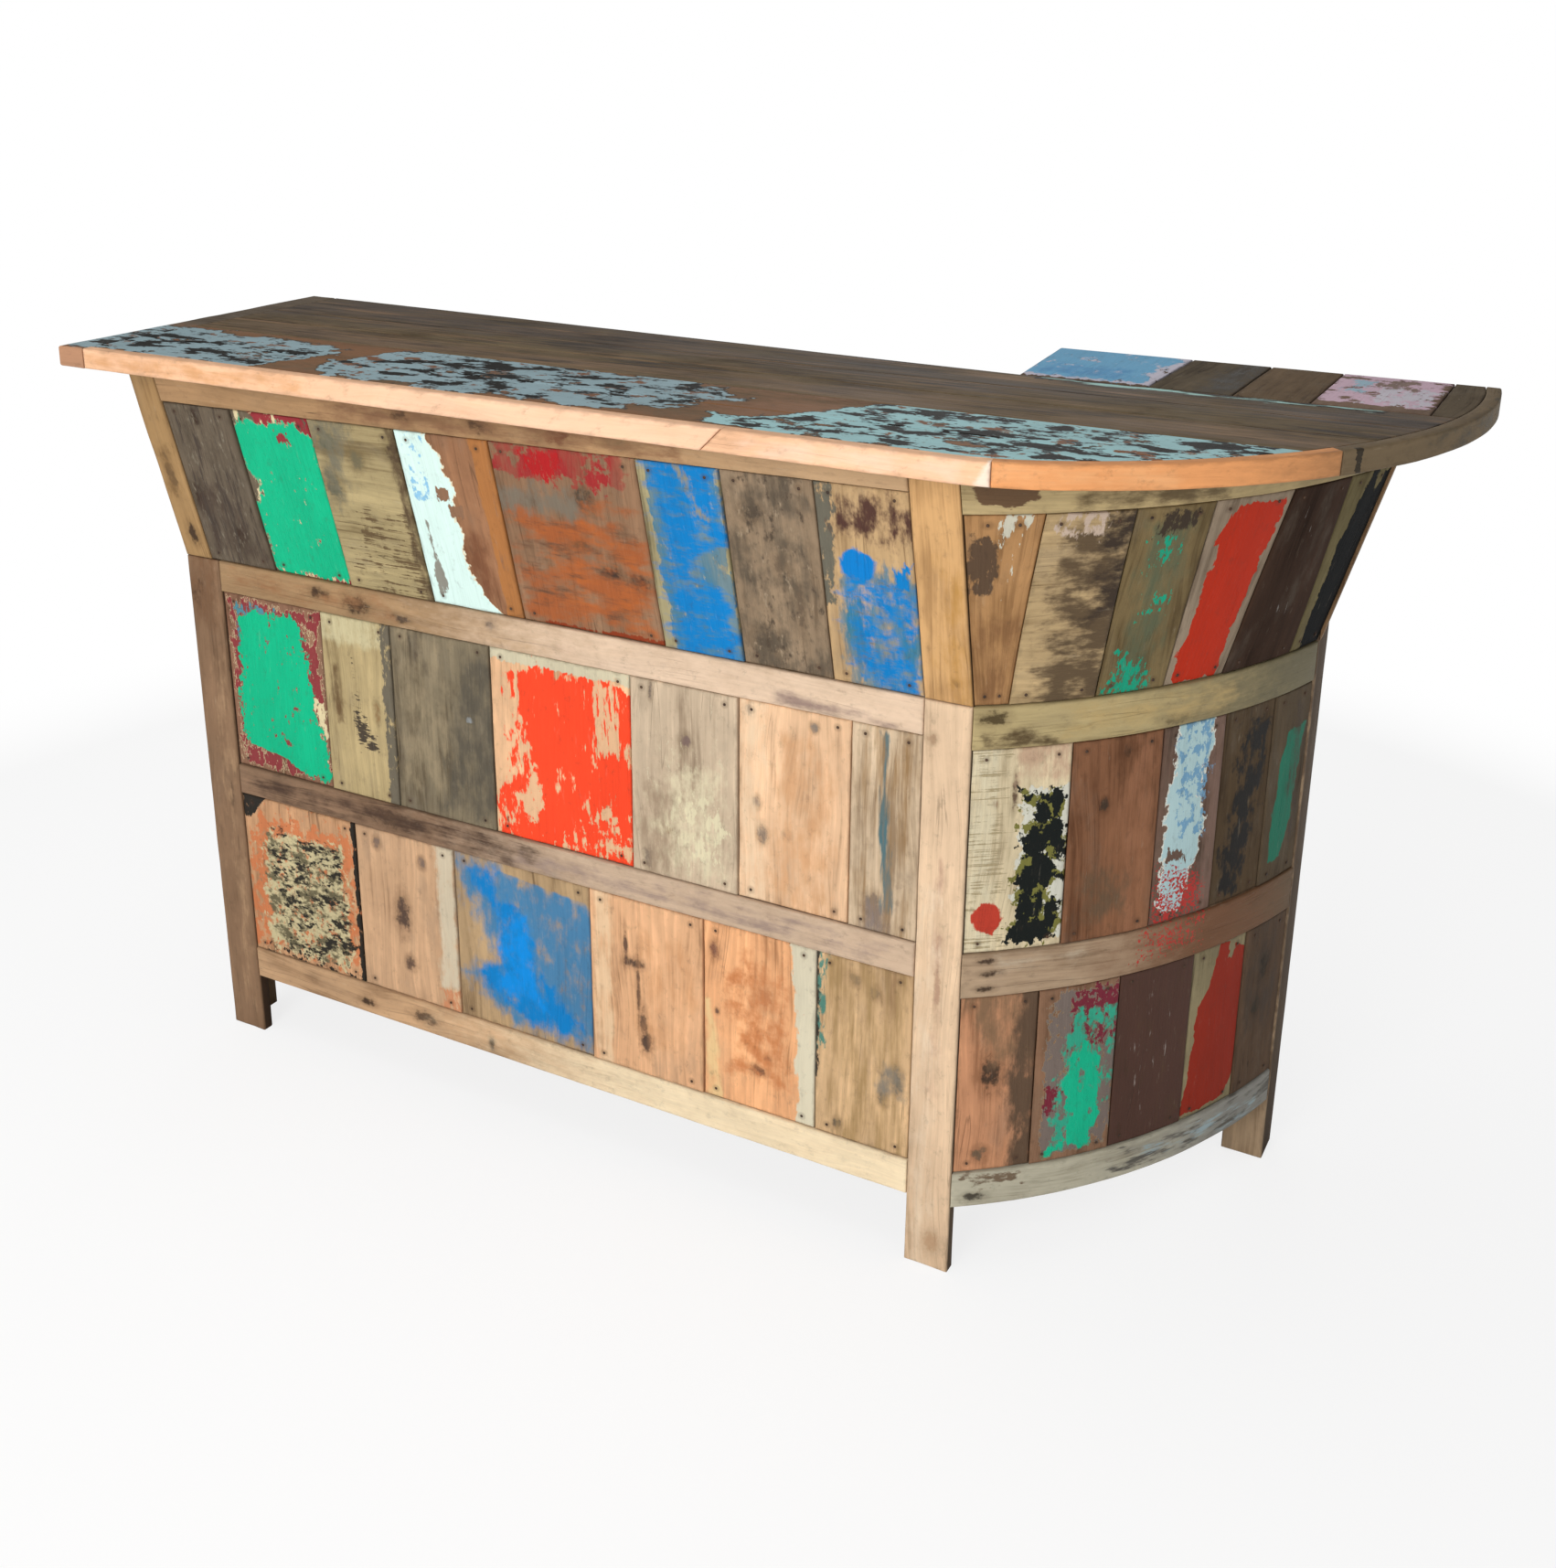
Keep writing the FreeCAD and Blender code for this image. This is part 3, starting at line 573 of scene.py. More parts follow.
front_row("lower", [
    ("C4966F", [
        coat("D07E50", ((0.06, 0.0, 1.0), (0.8, 0.05, 1.0), (0.92, 0.1, 0.95)), 0.1, 0.02, flake=(70, 60), soft=0.6),
        coat("CFC196", ((0.05, 0.14, 0.92), (0.7, 0.14, 0.9), (0.82, 0.25, 0.85)), 0.0, 0.014, 1.0, (40, 34),
             (120, 90), 6, soft=0.7),
        coat("6A6248", ((0.04, 0.14, 0.9), (0.84, 0.14, 0.9)), 0.55, 0.014, 1.4, (26, 34), (90, 120), 6, soft=1.4),
        coat("2E2A22", ((0.05, 0.3, 0.95), (0.4, 0.2, 0.95), (0.84, 0.16, 0.86)), 0.95, 0.014, 1.5, (28, 40),
             (90, 150), 8, soft=0.9),
        coat("2A2620", ((0.0, 0.08, 0.95), (0.08, 0.08, 0.9)), 0.9, 0.006, 1.2, (40, 60), (120, 90), 7, soft=0.7),
        coat(soot, ((0.86, 0.0, 0.06), (1.0, 0.0, 0.2)), -0.4, 0.004),
        coat(soot, patch(0.97, 1.2, 0.0, 1.0), 0.1, 0.003)],
     [knot(0.15, 0.62, 0.01, 0.008, "7E5238"), knot(0.85, 0.82, 0.003, 0.003)], {}),
    ("C39D7A", [
        stain("D2C3A8", patch(0.83, 1.0, 0.14, 1.1), -0.4, 0.005),
        coat("CF8E66", patch(0.8, 1.0, 0.0, 0.14), 0.0, 0.006, soft=0.8)],
     [knot(0.45, 0.52, 0.011, 0.024, "4A3A34"), knot(0.5, 0.22, 0.008, 0.01, "5A463C"),
      knot(0.22, 0.92, 0.006, 0.008, "7A665A"), knot(0.68, 0.87, 0.006, 0.008, "7A665A")], dict(streak=0.25)),
    ("AC906C", [
        stain(dull_blue, ((0.06, 0.45, 1.1), (0.16, 0.2, 1.1), (0.28, 0.08, 1.1), (0.42, 0.3, 1.1), (0.6, 0.22, 1.1),
                          (0.76, 0.06, 1.1), (0.84, 0.06, 1.05), (0.9, 0.06, 0.9), (0.95, 0.08, 0.3)), -0.3, 0.022,
              flake=(60, 40)),
        stain(boat_blue, ((0.07, 0.55, 0.85), (0.18, 0.3, 0.9), (0.3, 0.14, 0.75), (0.42, 0.36, 0.58),
                          (0.62, 0.32, 0.55), (0.72, 0.28, 0.5), (0.8, 0.16, 0.34), (0.9, 0.12, 0.28)), -0.15, 0.014,
              1.3, (34, 20), (60, 36), 5),
        stain("008CE0", ((0.2, 0.3, 0.66), (0.3, 0.3, 0.6), (0.42, 0.36, 0.56), (0.64, 0.34, 0.54), (0.7, 0.3, 0.5)),
              0.0, 0.014, 1.2, (40, 22), (70, 60), 4)], [], dict(streak=0.4)),
    ("DDAC82", [
        stain("EFCBA2", patch(0.03, 0.2, -0.1, 1.1), 0.0, 0.006, flake=(150, 10)),
        stain("CF986A", patch(0.4, 1.0, 0.1, 0.9), 0.9, 0.03, scale=(20, 12), flake=(90, 9))],
     [knot(0.4, 0.64, 0.014, 0.007, "4A3A33"), knot(0.32, 0.72, 0.0028, 0.024, "5E463A"),
      knot(0.43, 0.48, 0.0022, 0.05, "5A4438"), knot(0.47, 0.3, 0.005, 0.022, "4A3A33"),
      knot(0.5, 0.2, 0.009, 0.016, "4A3A33"), knot(0.1, 0.45, 0.004, 0.004, "8A6650")], dict(streak=0.2, figure=0.7)),
    ("E6AA7A", [
        stain("ECC891", ((0.0, 0.03, 0.17), (0.4, 0.03, 0.11), (0.56, 0.0, 0.05)), -0.2, 0.004),
        stain("CE8452", patch(0.2, 0.8, 0.15, 0.9), 0.7, 0.02, 1.4, (30, 30), (60, 22)),
        coat("DCD3B8", ((0.0, 0.86, 1.1), (0.5, 0.85, 1.1), (1.0, 0.8, 1.1)), -0.8, 0.004, fine=3, soft=0.8)],
     [knot(0.1, 0.84, 0.006, 0.012, "7A5040"), knot(0.48, 0.23, 0.012, 0.006, "4E3A34"),
      knot(0.58, 0.31, 0.005, 0.005, "8A5C44"), knot(0.55, 0.66, 0.012, 0.016, "B06A40", 0.6),
      knot(0.12, 0.5, 0.003, 0.004, "6A5044")], dict(streak=0.2, figure=0.9)),
    ("CFAC82", [
        stain("A98A5E", patch(0.05, 1.0, -0.1, 1.1), 0.7, 0.02, 1.2, (40, 8), (130, 7), 4),
        coat("57897A", ((0.45, -0.1, 0.1), (1.0, -0.1, 0.14)), 0.5, 0.004, flake=(120, 40), soft=0.8),
        coat("3A342C", ((0.3, -0.1, 0.025), (1.1, -0.1, 0.035)), 0.0, 0.003, soft=0.8),
        stain("857C6E", ((0.3, 0.6, 1.0), (0.5, 0.7, 1.0)), 0.6, 0.012)],
     [knot(0.86, 0.42, 0.007, 0.018, "6A6458"), knot(0.72, 0.3, 0.006, 0.01, "6A6458"),
      knot(0.24, 0.07, 0.005, 0.008, "5E5448"), knot(0.6, 0.86, 0.007, 0.008, "8A7458"),
      knot(0.4, 0.9, 0.007, 0.008, "8A7458")], dict(streak=0.55)),
], 100)

front_row("middle", [
    ("8B6650", [
        coat("8E3A3C", patch(0.04, 0.98, 0.02, 0.98), 0.35, 0.008, rim=(cream, 0.15)),
        coat("4C8C98", ((0.66, 0.06, 0.4), (0.97, 0.1, 0.55)), 0.6, 0.008),
        coat(cream, patch(0.84, 1.0, 0.12, 0.5), 0.5, 0.006),
        coat(sea_green, ((0.04, 0.72, 1.0), (0.1, 0.56, 1.0), (0.14, 0.16, 0.98), (0.22, 0.1, 0.95),
                         (0.5, 0.11, 0.86), (0.84, 0.13, 0.8), (0.92, 0.26, 0.74)), -0.3, 0.008, flake=(160, 90),
             rim=("8E4640", 0.25))], [], {}),
    ("B09C72", [
        stain("CDC198", patch(0.0, 0.88, 0.85, 1.1), 0.0, 0.006),
        coat("6E6656", patch(0.87, 1.1, 0.0, 1.1), -0.2, 0.004, soft=0.8),
        coat("4A4034", ((0.26, 0.5, 0.82), (0.42, 0.4, 0.66), (0.6, 0.38, 0.48), (0.8, 0.4, 0.46)), 0.5, 0.008,
             flake=(60, 230), soft=0.5),
        stain("6E5638", ((0.4, 0.16, 0.26), (0.6, 0.1, 0.24), (0.72, 0.14, 0.2)), 0.1, 0.006)],
     [knot(0.75, 0.5, 0.005, 0.012, "8A6A44", 0.7)], dict(streak=0.3)),
    ("7C705A", [
        stain("5C5548", ((0.05, 0.45, 1.1), (0.5, 0.55, 1.1), (0.95, 0.7, 1.1)), 0.2, 0.02, flake=(120, 10)),
        stain("9A8A6E", patch(0.0, 0.6, 0.1, 1.0), 0.7, 0.02, flake=(130, 8))],
     [knot(0.38, 0.82, 0.007, 0.008, "5A5042", 0.7), knot(0.78, 0.58, 0.005, 0.004, "A8B0B4", 0.8)],
     dict(streak=0.7, grey=0.4)),
    ("E4B68C", [
        coat(signal_red, ((-0.1, 0.02, 1.1), (0.08, 0.03, 1.1), (0.24, 0.02, 1.1), (0.32, 0.16, 1.1), (0.5, 0.2, 1.1),
                          (0.88, 0.17, 1.1), (0.94, 0.3, 0.8)), -0.4, 0.020, 1.3, (40, 14), (90, 22), 6, soft=0.5),
        coat("E6B88E", ((0.56, 0.66, 1.0), (0.64, 0.68, 0.98), (0.72, 0.72, 0.92), (0.94, 0.7, 0.9)), 0.25, 0.010,
             1.2, (60, 16), (150, 22), 8, soft=0.5),
        coat("E6B88E", ((-0.1, 0.3, 1.1), (0.1, 0.5, 1.1), (0.3, 0.78, 1.1)), 1.05, 0.016, 1.4, (34, 30), (110, 36),
             7, soft=0.6),
        coat("E6B88E", ((0.0, 0.05, 0.3), (0.5, 0.18, 0.34), (0.7, 0.16, 0.26)), 1.1, 0.012, 1.3, (40, 24), (130, 30),
             7, soft=0.6),
        coat("E6B88E", ((0.12, 0.24, 0.3), (0.22, 0.18, 0.4), (0.3, 0.24, 0.34), (0.46, 0.25, 0.28)), 0.1, 0.008, 1.0,
             soft=0.5),
        coat("D2C8AA", patch(-0.2, 1.2, 0.945, 1.1), -0.6, 0.003, soft=0.6)],
     [knot(0.8, 0.86, 0.005, 0.006), knot(0.1, 0.08, 0.005, 0.006), knot(0.48, 0.97, 0.003, 0.004)],
     dict(streak=0.15, edge_grime_and_shade=0.3)),
    ("C2AD93", [
        stain("DACDAC", ((0.02, 0.2, 0.9), (0.3, 0.1, 0.95), (0.45, 0.15, 0.95), (0.66, 0.4, 0.9)), 0.6, 0.03, 1.2,
              (34, 24), (100, 50), 5),
        coat("E0D5B2", ((0.08, 0.4, 0.9), (0.3, 0.25, 0.95), (0.5, 0.4, 0.9)), 0.75, 0.02, 1.2, (44, 26), (130, 55),
             7, soft=0.9),
        coat("D8CDAE", patch(0.0, 1.0, 0.1, 1.0), 2.0, 0.02, flake=(130, 60), fine=7, soft=0.9),
        stain("A08A72", patch(0.0, 0.5, 0.0, 0.5), 0.6, 0.02, flake=(90, 16))],
     [knot(0.52, 0.73, 0.007, 0.009, "75605A"), knot(0.32, 0.25, 0.012, 0.007, "8A6C4C"),
      knot(0.16, 0.08, 0.006, 0.016, "6C5E54"), knot(0.2, 0.95, 0.003, 0.01, "6C5E54")], dict(streak=0.35)),
    ("E0B892", [
        stain("EFD0AC", patch(0.0, 0.25, -0.1, 1.1), 0.2, 0.02, flake=(150, 8)),
        stain("D8A67A", patch(0.3, 0.9, 0.0, 0.9), 0.6, 0.02, flake=(120, 10))],
     [knot(0.1, 0.955, 0.006, 0.008, "82766A"), knot(0.68, 0.93, 0.005, 0.006, "82766A"),
      knot(0.16, 0.5, 0.006, 0.007, "8A7464"), knot(0.22, 0.35, 0.007, 0.011, "6E6056"),
      knot(0.45, 0.37, 0.005, 0.006, "8A7464")], dict(streak=0.15, figure=0.7)),
    ("CEB698", [
        coat("4E747C", ((0.1, 0.48, 0.62), (0.35, 0.46, 0.58), (0.6, 0.44, 0.56), (0.97, 0.42, 0.54)), -0.5, 0.007,
             1.1, (50, 12), (150, 12), 5, soft=1.2),
        stain("8A7B72", ((-0.1, 0.2, 0.6), (0.16, 0.22, 0.56)), 0.1, 0.01),
        stain("9C7C56", patch(0.0, 1.0, -0.1, 1.1), 1.0, 0.02, 1.2, (46, 7), (150, 6), 4)],
     [knot(0.36, 0.13, 0.012, 0.014, "6E625C", 0.8)], dict(streak=0.6)),
], 120)

front_row("upper", [
    ("645849", [
        stain("4A3B30", ((0.02, 0.05, 1.0), (0.3, 0.0, 0.8), (0.6, 0.1, 0.6)), 0.6, 0.02, flake=(70, 30)),
        coat("867C6A", patch(0.0, 1.0, 0.0, 1.0), 1.3, 0.02, 1.0, (60, 34), (170, 60), 8, soft=2.0),
        coat("463B32", patch(0.0, 1.0, -0.1, 1.1), 0.9, 0.02, 1.0, (60, 12), (170, 16), 7, soft=1.4)],
     [knot(0.15, 0.42, 0.01, 0.02), knot(0.62, 0.2, 0.012, 0.012), knot(0.45, 0.93, 0.006, 0.01)],
     dict(streak=0.8, grey=0.4)),
    ("6C604E", [
        coat(dark_red, ((-0.1, 0.25, 1.1), (0.9, 0.3, 1.1), (1.0, 0.25, 1.1)), 0.25, 0.005),
        coat(cream, ((-0.1, 0.04, 1.1), (1.0, 0.02, 0.6)), 0.9, 0.006, flake=(120, 36)),
        coat(sea_green, ((0.02, 0.03, 0.95), (0.08, 0.02, 1.02), (0.44, 0.02, 1.05), (0.5, 0.16, 1.05),
                         (0.56, 0.14, 1.05), (0.66, 0.02, 1.05), (0.88, 0.0, 1.0), (0.94, 0.05, 0.8)), -0.4, 0.008,
             flake=(150, 70), rim=("B9A282", 0.2)),
        coat(dark_red, patch(0.56, 0.68, 0.85, 0.895), -0.5, 0.005, 1.2)], [], dict(streak=0.8)),
    ("A5946C", [
        stain("7A7460", ((0.5, 0.0, 0.25), (0.8, 0.0, 0.4), (1.1, 0.0, 0.5)), 0.4, 0.02),
        coat("6A563A", ((-0.1, 0.05, 1.1), (0.3, 0.2, 1.1), (0.55, 0.3, 1.0)), 1.2, 0.02, flake=(14, 240), fine=8,
             soft=0.6),
        stain("5C4A34", patch(0.9, 1.1, 0.0, 1.0), 0.3, 0.006)],
     [knot(0.18, 0.89, 0.014, 0.016, "5E5F4E"), knot(0.13, 0.64, 0.011, 0.02, "5A5A4A"),
      knot(0.48, 0.8, 0.01, 0.012, "6A634C"), knot(0.95, 0.87, 0.01, 0.016, "4A3A2C")],
     dict(streak=0.6, turned=True)),
    ("946A4C", [
        stain("7A4E34", patch(0.35, 0.8, 0.02, 0.5), 0.3, 0.02, flake=(110, 10)),
        coat("AE7340", patch(0.82, 1.1, -0.1, 1.1), -0.4, 0.003, flake=(140, 10), soft=0.8),
        coat(mint_white, ((-0.1, -0.1, 0.72), (0.1, -0.1, 0.56), (0.3, -0.1, 0.44), (0.48, -0.1, 0.48),
                          (0.6, -0.1, 0.42), (0.68, -0.1, 0.5), (0.86, -0.1, 0.42), (1.0, -0.1, 0.28)), -1.2, 0.005,
             1.5, (60, 45), fine=2.5, rim=("E8DCBC", 0.4)),
        coat("8E6A50", patch(0.36, 0.45, 0.64, 0.69), -1.0, 0.003, 0.8),
        coat("8E6A50", patch(0.46, 0.56, 0.55, 0.6), -0.8, 0.003, 0.8),
        coat("8FC6E6", patch(0.02, 0.32, 0.6, 1.0), 1.3, 0.01, flake=(90, 70), fine=7, soft=0.8),
        coat("8F8D82", ((0.06, 0.1, 0.22), (0.16, 0.08, 0.22), (0.26, 0.13, 0.16), (0.5, 0.13, 0.15)), -0.3, 0.003,
             soft=0.8)], [], dict(streak=0.35)),
    ("8A6A50", [
        stain("A55C32", ((0.02, 0.05, 0.98), (0.3, 0.0, 1.0), (0.66, 0.06, 1.0)), 0.35, 0.03, 2.0, (12, 24), (34, 50),
              4),
        stain("B4622F", ((0.03, 0.3, 0.98), (0.3, 0.3, 1.0), (0.6, 0.1, 0.95)), 0.9, 0.02, 1.6, (14, 30), (40, 90),
              4),
        stain("6A4A36", patch(0, 1, 0.05, 0.68), 1.5, 0.02, 1.2, (20, 60), (30, 130), 5),
        stain("7C7060", ((0.64, -0.1, 0.62), (0.78, -0.1, 0.6)), 0.0, 0.012, 1.2),
        coat("A02C2C", ((0.82, -0.1, 0.95), (1.1, -0.1, 0.95)), 0.1, 0.012, 1.2, (34, 26), (60, 50), 6, wash=0.5,
             soft=0.8),
        coat("B01E20", ((0.82, 0.3, 0.42), (0.9, 0.2, 0.5), (0.97, 0.18, 0.48)), 0.1, 0.01, 1.2, soft=0.8),
        coat("8E3A1C", patch(0.15, 1.1, -0.1, 0.025), 0.1, 0.003, soft=0.6)],
     [knot(0.6, 0.74, 0.014, 0.013, "4A4034"), knot(0.52, 0.5, 0.010, 0.008, "4E4430"),
      knot(0.72, 0.36, 0.013, 0.008, "3C2E28"), knot(0.9, 0.33, 0.014, 0.010, "3C2E28"),
      knot(0.2, 0.7, 0.016, 0.008, "5A4838", 0.7)], dict(streak=0.45)),
    ("A39873", [
        coat("4E7C92", ((-0.1, 0.14, 1.0), (1.1, 0.12, 0.97)), -0.5, 0.004, soft=0.8, wash=0.25),
        stain(boat_blue, ((-0.1, 0.18, 1.0), (0.36, 0.18, 0.95), (0.43, 0.22, 0.55), (0.54, 0.22, 0.6),
                          (0.62, 0.16, 1.0), (0.76, 0.16, 0.98), (1.1, 0.16, 0.96)), -0.2, 0.014, 1.3, (26, 44),
              (40, 120), 5),
        coat("8E8B7C", ((0.72, 0.66, 0.84), (0.86, 0.5, 0.74), (1.1, 0.36, 0.6)), 0.2, 0.010, soft=1.8),
        coat("8E8B7C", patch(0.8, 0.98, 0.44, 0.52), 0.1, 0.006, soft=1.2),
        coat("5E6258", patch(0.14, 1.0, -0.1, 1.1), 1.5, 0.014, 1.2, (24, 60), (50, 170), 7, soft=2.2)], [],
     dict(streak=0.4)),
    ("8F7A62", [
        stain("625647", patch(0.0, 1.0, -0.1, 1.1), 0.8, 0.02, 1.6, (26, 18), (110, 14), 4),
        coat("54473A", patch(0.0, 1.0, -0.1, 1.1), 1.2, 0.02, 1.2, (44, 30), (130, 70), 8, soft=2.0),
        coat("AA967C", patch(0.0, 1.0, -0.1, 1.1), 1.6, 0.02, 1.0, (50, 28), (150, 60), 8, soft=2.0)],
     [knot(0.3, 0.82, 0.012, 0.012, "4A4036"), knot(0.55, 0.55, 0.008, 0.016, "5C4E40", 0.7),
      knot(0.3, 0.14, 0.016, 0.014, "443A30"), knot(0.72, 0.36, 0.005, 0.03, "5C4E40", 0.7)],
     dict(streak=0.8, grey=0.3)),
    ("BC9C72", [
        coat("6C685A", ((0.4, -0.1, 0.12), (1.1, -0.1, 0.2)), -0.3, 0.004, soft=0.8),
        stain("54382F", ((0.76, 0.2, 1.1), (0.84, 0.2, 1.1), (0.94, 0.25, 1.1)), 0.1, 0.012, 1.2, (40, 24), (90, 40),
              6),
        coat("3E7A92", ((-0.1, 0.16, 1.1), (0.5, 0.16, 1.1), (0.6, 0.28, 1.1)), -0.4, 0.012, flake=(90, 24), soft=1.4,
             wash=0.4),
        coat(boat_blue, ((-0.1, 0.4, 1.0), (0.25, 0.2, 1.02), (0.5, 0.2, 1.02), (0.58, 0.26, 1.02)), -0.4, 0.012, 1.3,
             (28, 30), (50, 80), 6, soft=2.4),
        coat("007ECC", ((0.545, 0.38, 0.4), (0.555, 0.29, 0.49), (0.575, 0.23, 0.55), (0.61, 0.2, 0.58),
                        (0.645, 0.21, 0.575), (0.675, 0.26, 0.52), (0.69, 0.33, 0.45), (0.695, 0.38, 0.4)), -0.5,
             0.007, 0.7, fine=2.0, soft=1.0),
        coat(boat_blue, ((0.52, 0.74, 0.96), (0.66, 0.82, 0.98)), 0.1, 0.006, soft=0.8),
        coat("6E6A58", patch(0.1, 1.0, -0.1, 0.6), 1.5, 0.014, 1.2, (26, 50), (60, 150), 7, soft=2.2)],
     [knot(0.39, 0.615, 0.004, 0.007, "0A4A86", 0.6)], dict(streak=0.4)),
], 140)


# Bowed end: curved rails sawn to the bow, with staves between them, narrower at the foot in the upper row.
# The arc at each height runs from the right leg's side plane to the rear leg's front plane.
bow_radius = 0.780
stave_gap = 0.0001
bow_start_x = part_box("front_right_leg")[1].x
bow_end_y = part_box("bow_knee_rail")[1].y
bow_foot_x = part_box("bow_bottom_rail")[1].x
bow_head_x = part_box("bow_top_rail")[1].x


def bow_point(share, z, depth):
    lean = max(z - knee, 0.0) / (under_top - knee)
    start = Vector((bow_start_x, front_y - flare_slope * max(z - knee, 0.0)))
    end = Vector((bow_foot_x + (bow_head_x - bow_foot_x) * lean, bow_end_y))
    chord = end - start
    rise = math.sqrt(bow_radius ** 2 - (chord.length / 2) ** 2)
    centre = (start + end) / 2 + Vector((-chord.y, chord.x)).normalized() * rise
    radius = bow_radius - depth
    first = -math.acos((bow_start_x - centre.x) / radius)
    last = math.asin((bow_end_y - centre.y) / radius)
    turn = first + (last - first) * share
    return Vector((centre.x + radius * math.cos(turn), centre.y + radius * math.sin(turn), z))


bow_length = bow_radius * 2 * math.asin((bow_point(1, 0, 0) - bow_point(0, 0, 0)).length / 2 / bow_radius)
# The drifts darken each bow rail toward its rear end: partly the wood's own colour, partly painted shade where the bow
# turns from the light.
bow_rails = {
    "bow_bottom_rail": ("C0BAA4", [
        light_and_colour_drift("94928A", 0.3, 1.0, 0.3),
        coat("7A6854", ((0.02, 0.55, 0.95), (0.06, 0.5, 0.98), (0.2, 0.6, 0.95)), 0.4, 0.008, 1.2, (60, 24),
             (120, 50), 6, soft=1.2),
        coat("66625A", patch(0.0, 1.0, 0.4, 1.0), 0.8, 0.012, 1.3, (50, 12), (120, 14), 7, soft=1.2),
        coat("A4B6BA", patch(0.1, 0.9, 0.5, 0.95), 0.9, 0.012, 1.3, (50, 12), (130, 14), 7, soft=1.2)], 0.5,
                        [knot(0.3, 0.06, 0.005, 0.014, "3A342C")]),
    "bow_middle_rail": ("B49A7E", [
        light_and_colour_drift("7C563C", 0.2, 1.0, 0.25),
        stain("C4B29A", patch(0.55, 0.95, 0.08, 0.3), 0.6, 0.012, flake=(120, 12)),
        coat("C44038", patch(0.2, 1.1, 0.44, 0.64), 0.95, 0.02, 0.8, flake=(230, 230), fine=9, soft=0.5),
        light_and_colour_drift("6E5940", 0.66, 1.0, 0.25)], 0.35,
                        [knot(0.2, 0.06, 0.004, 0.01), knot(0.55, 0.07, 0.004, 0.012),
                         knot(0.85, 0.06, 0.004, 0.01)]),
    "bow_knee_rail": ("B7A477", [
        light_and_colour_drift("766E54", 0.2, 1.0, 0.4),
        stain("5E4D33", ((0.02, 0.0, 0.4), (0.12, 0.0, 0.45), (0.2, 0.0, 0.2)), 0.3, 0.006),
        stain("C2A873", patch(0.1, 0.9, 0.2, 0.7), 0.6, 0.015, flake=(110, 10))], 0.5,
                      [knot(0.75, 0.05, 0.008, 0.014, "4A3C26"), knot(0.2, 0.5, 0.006, 0.02, "5E4D33", 0.7)]),
    "bow_top_rail": ("B49F74", [
        light_and_colour_drift("6E6244", 0.4, 1.0, 0.4),
        coat("6B523B", ((0.03, 0.35, 0.62), (0.08, 0.2, 0.85), (0.13, 0.35, 0.62)), -0.8, 0.004, 0.6, soft=0.8),
        stain("6B5A3E", patch(0.0, 0.6, 0.2, 0.5), 0.3, 0.01)], 0.5, [])}
for seed, (node, (code, coats, streak, knots)) in enumerate(bow_rails.items(), 60):
    low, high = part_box(node)
    width = high.z - low.z

    def bow_rail_place(a, b, d, low=low):
        return bow_point(b / bow_length, low.z + a, d)

    finish = timber(node + "_wood", grades(code, 0.8), seed, width, bow_length, coats=coats, knots=knots,
                    streak=streak, edge_grime_and_shade=0.18, grey=0.15)
    piece = board(node + "_board", bow_rail_place, width, bow_length, frame_thickness, finish, seed, worn=0.003,
                  warp=0.0012)
    fitted(piece, "frame_wood", node)


def bow_row(row, looks, foot_shares, head_shares, first_seed):
    node = f"bow_{row}_staves"
    low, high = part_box(node)
    foot, length = low.z, high.z - low.z
    for number, (code, coats, knots, extra) in enumerate(looks):
        seed = first_seed + number
        foot_pair = foot_shares[number:number + 2]
        head_pair = head_shares[number:number + 2]
        width = bow_length * (foot_pair[1] - foot_pair[0] + head_pair[1] - head_pair[0]) / 2
        recess = plank_recess + recess_spread * math.sin(seed * 1.9)
        gap = stave_gap / width

        def stave_place(a, b, d, foot_pair=foot_pair, head_pair=head_pair, recess=recess, width=width, gap=gap):
            climb = b / length
            left = foot_pair[0] + (head_pair[0] - foot_pair[0]) * climb
            right = foot_pair[1] + (head_pair[1] - foot_pair[1]) * climb
            share = gap + (1 - 2 * gap) * a / width
            return bow_point(left + (right - left) * share, foot + b, recess + d)

        name = f"bow_{row}_stave_{number + 1}"
        finish = timber(name + "_finish", grades(code), seed, width, length, coats=coats, knots=knots,
                        nailed=nail_inset, **extra)
        piece = board(name, stave_place, width, length, frame_thickness - recess, finish, seed)
        fitted(piece, "painted_planks", node)
        drive_nails(stave_place, width, length)
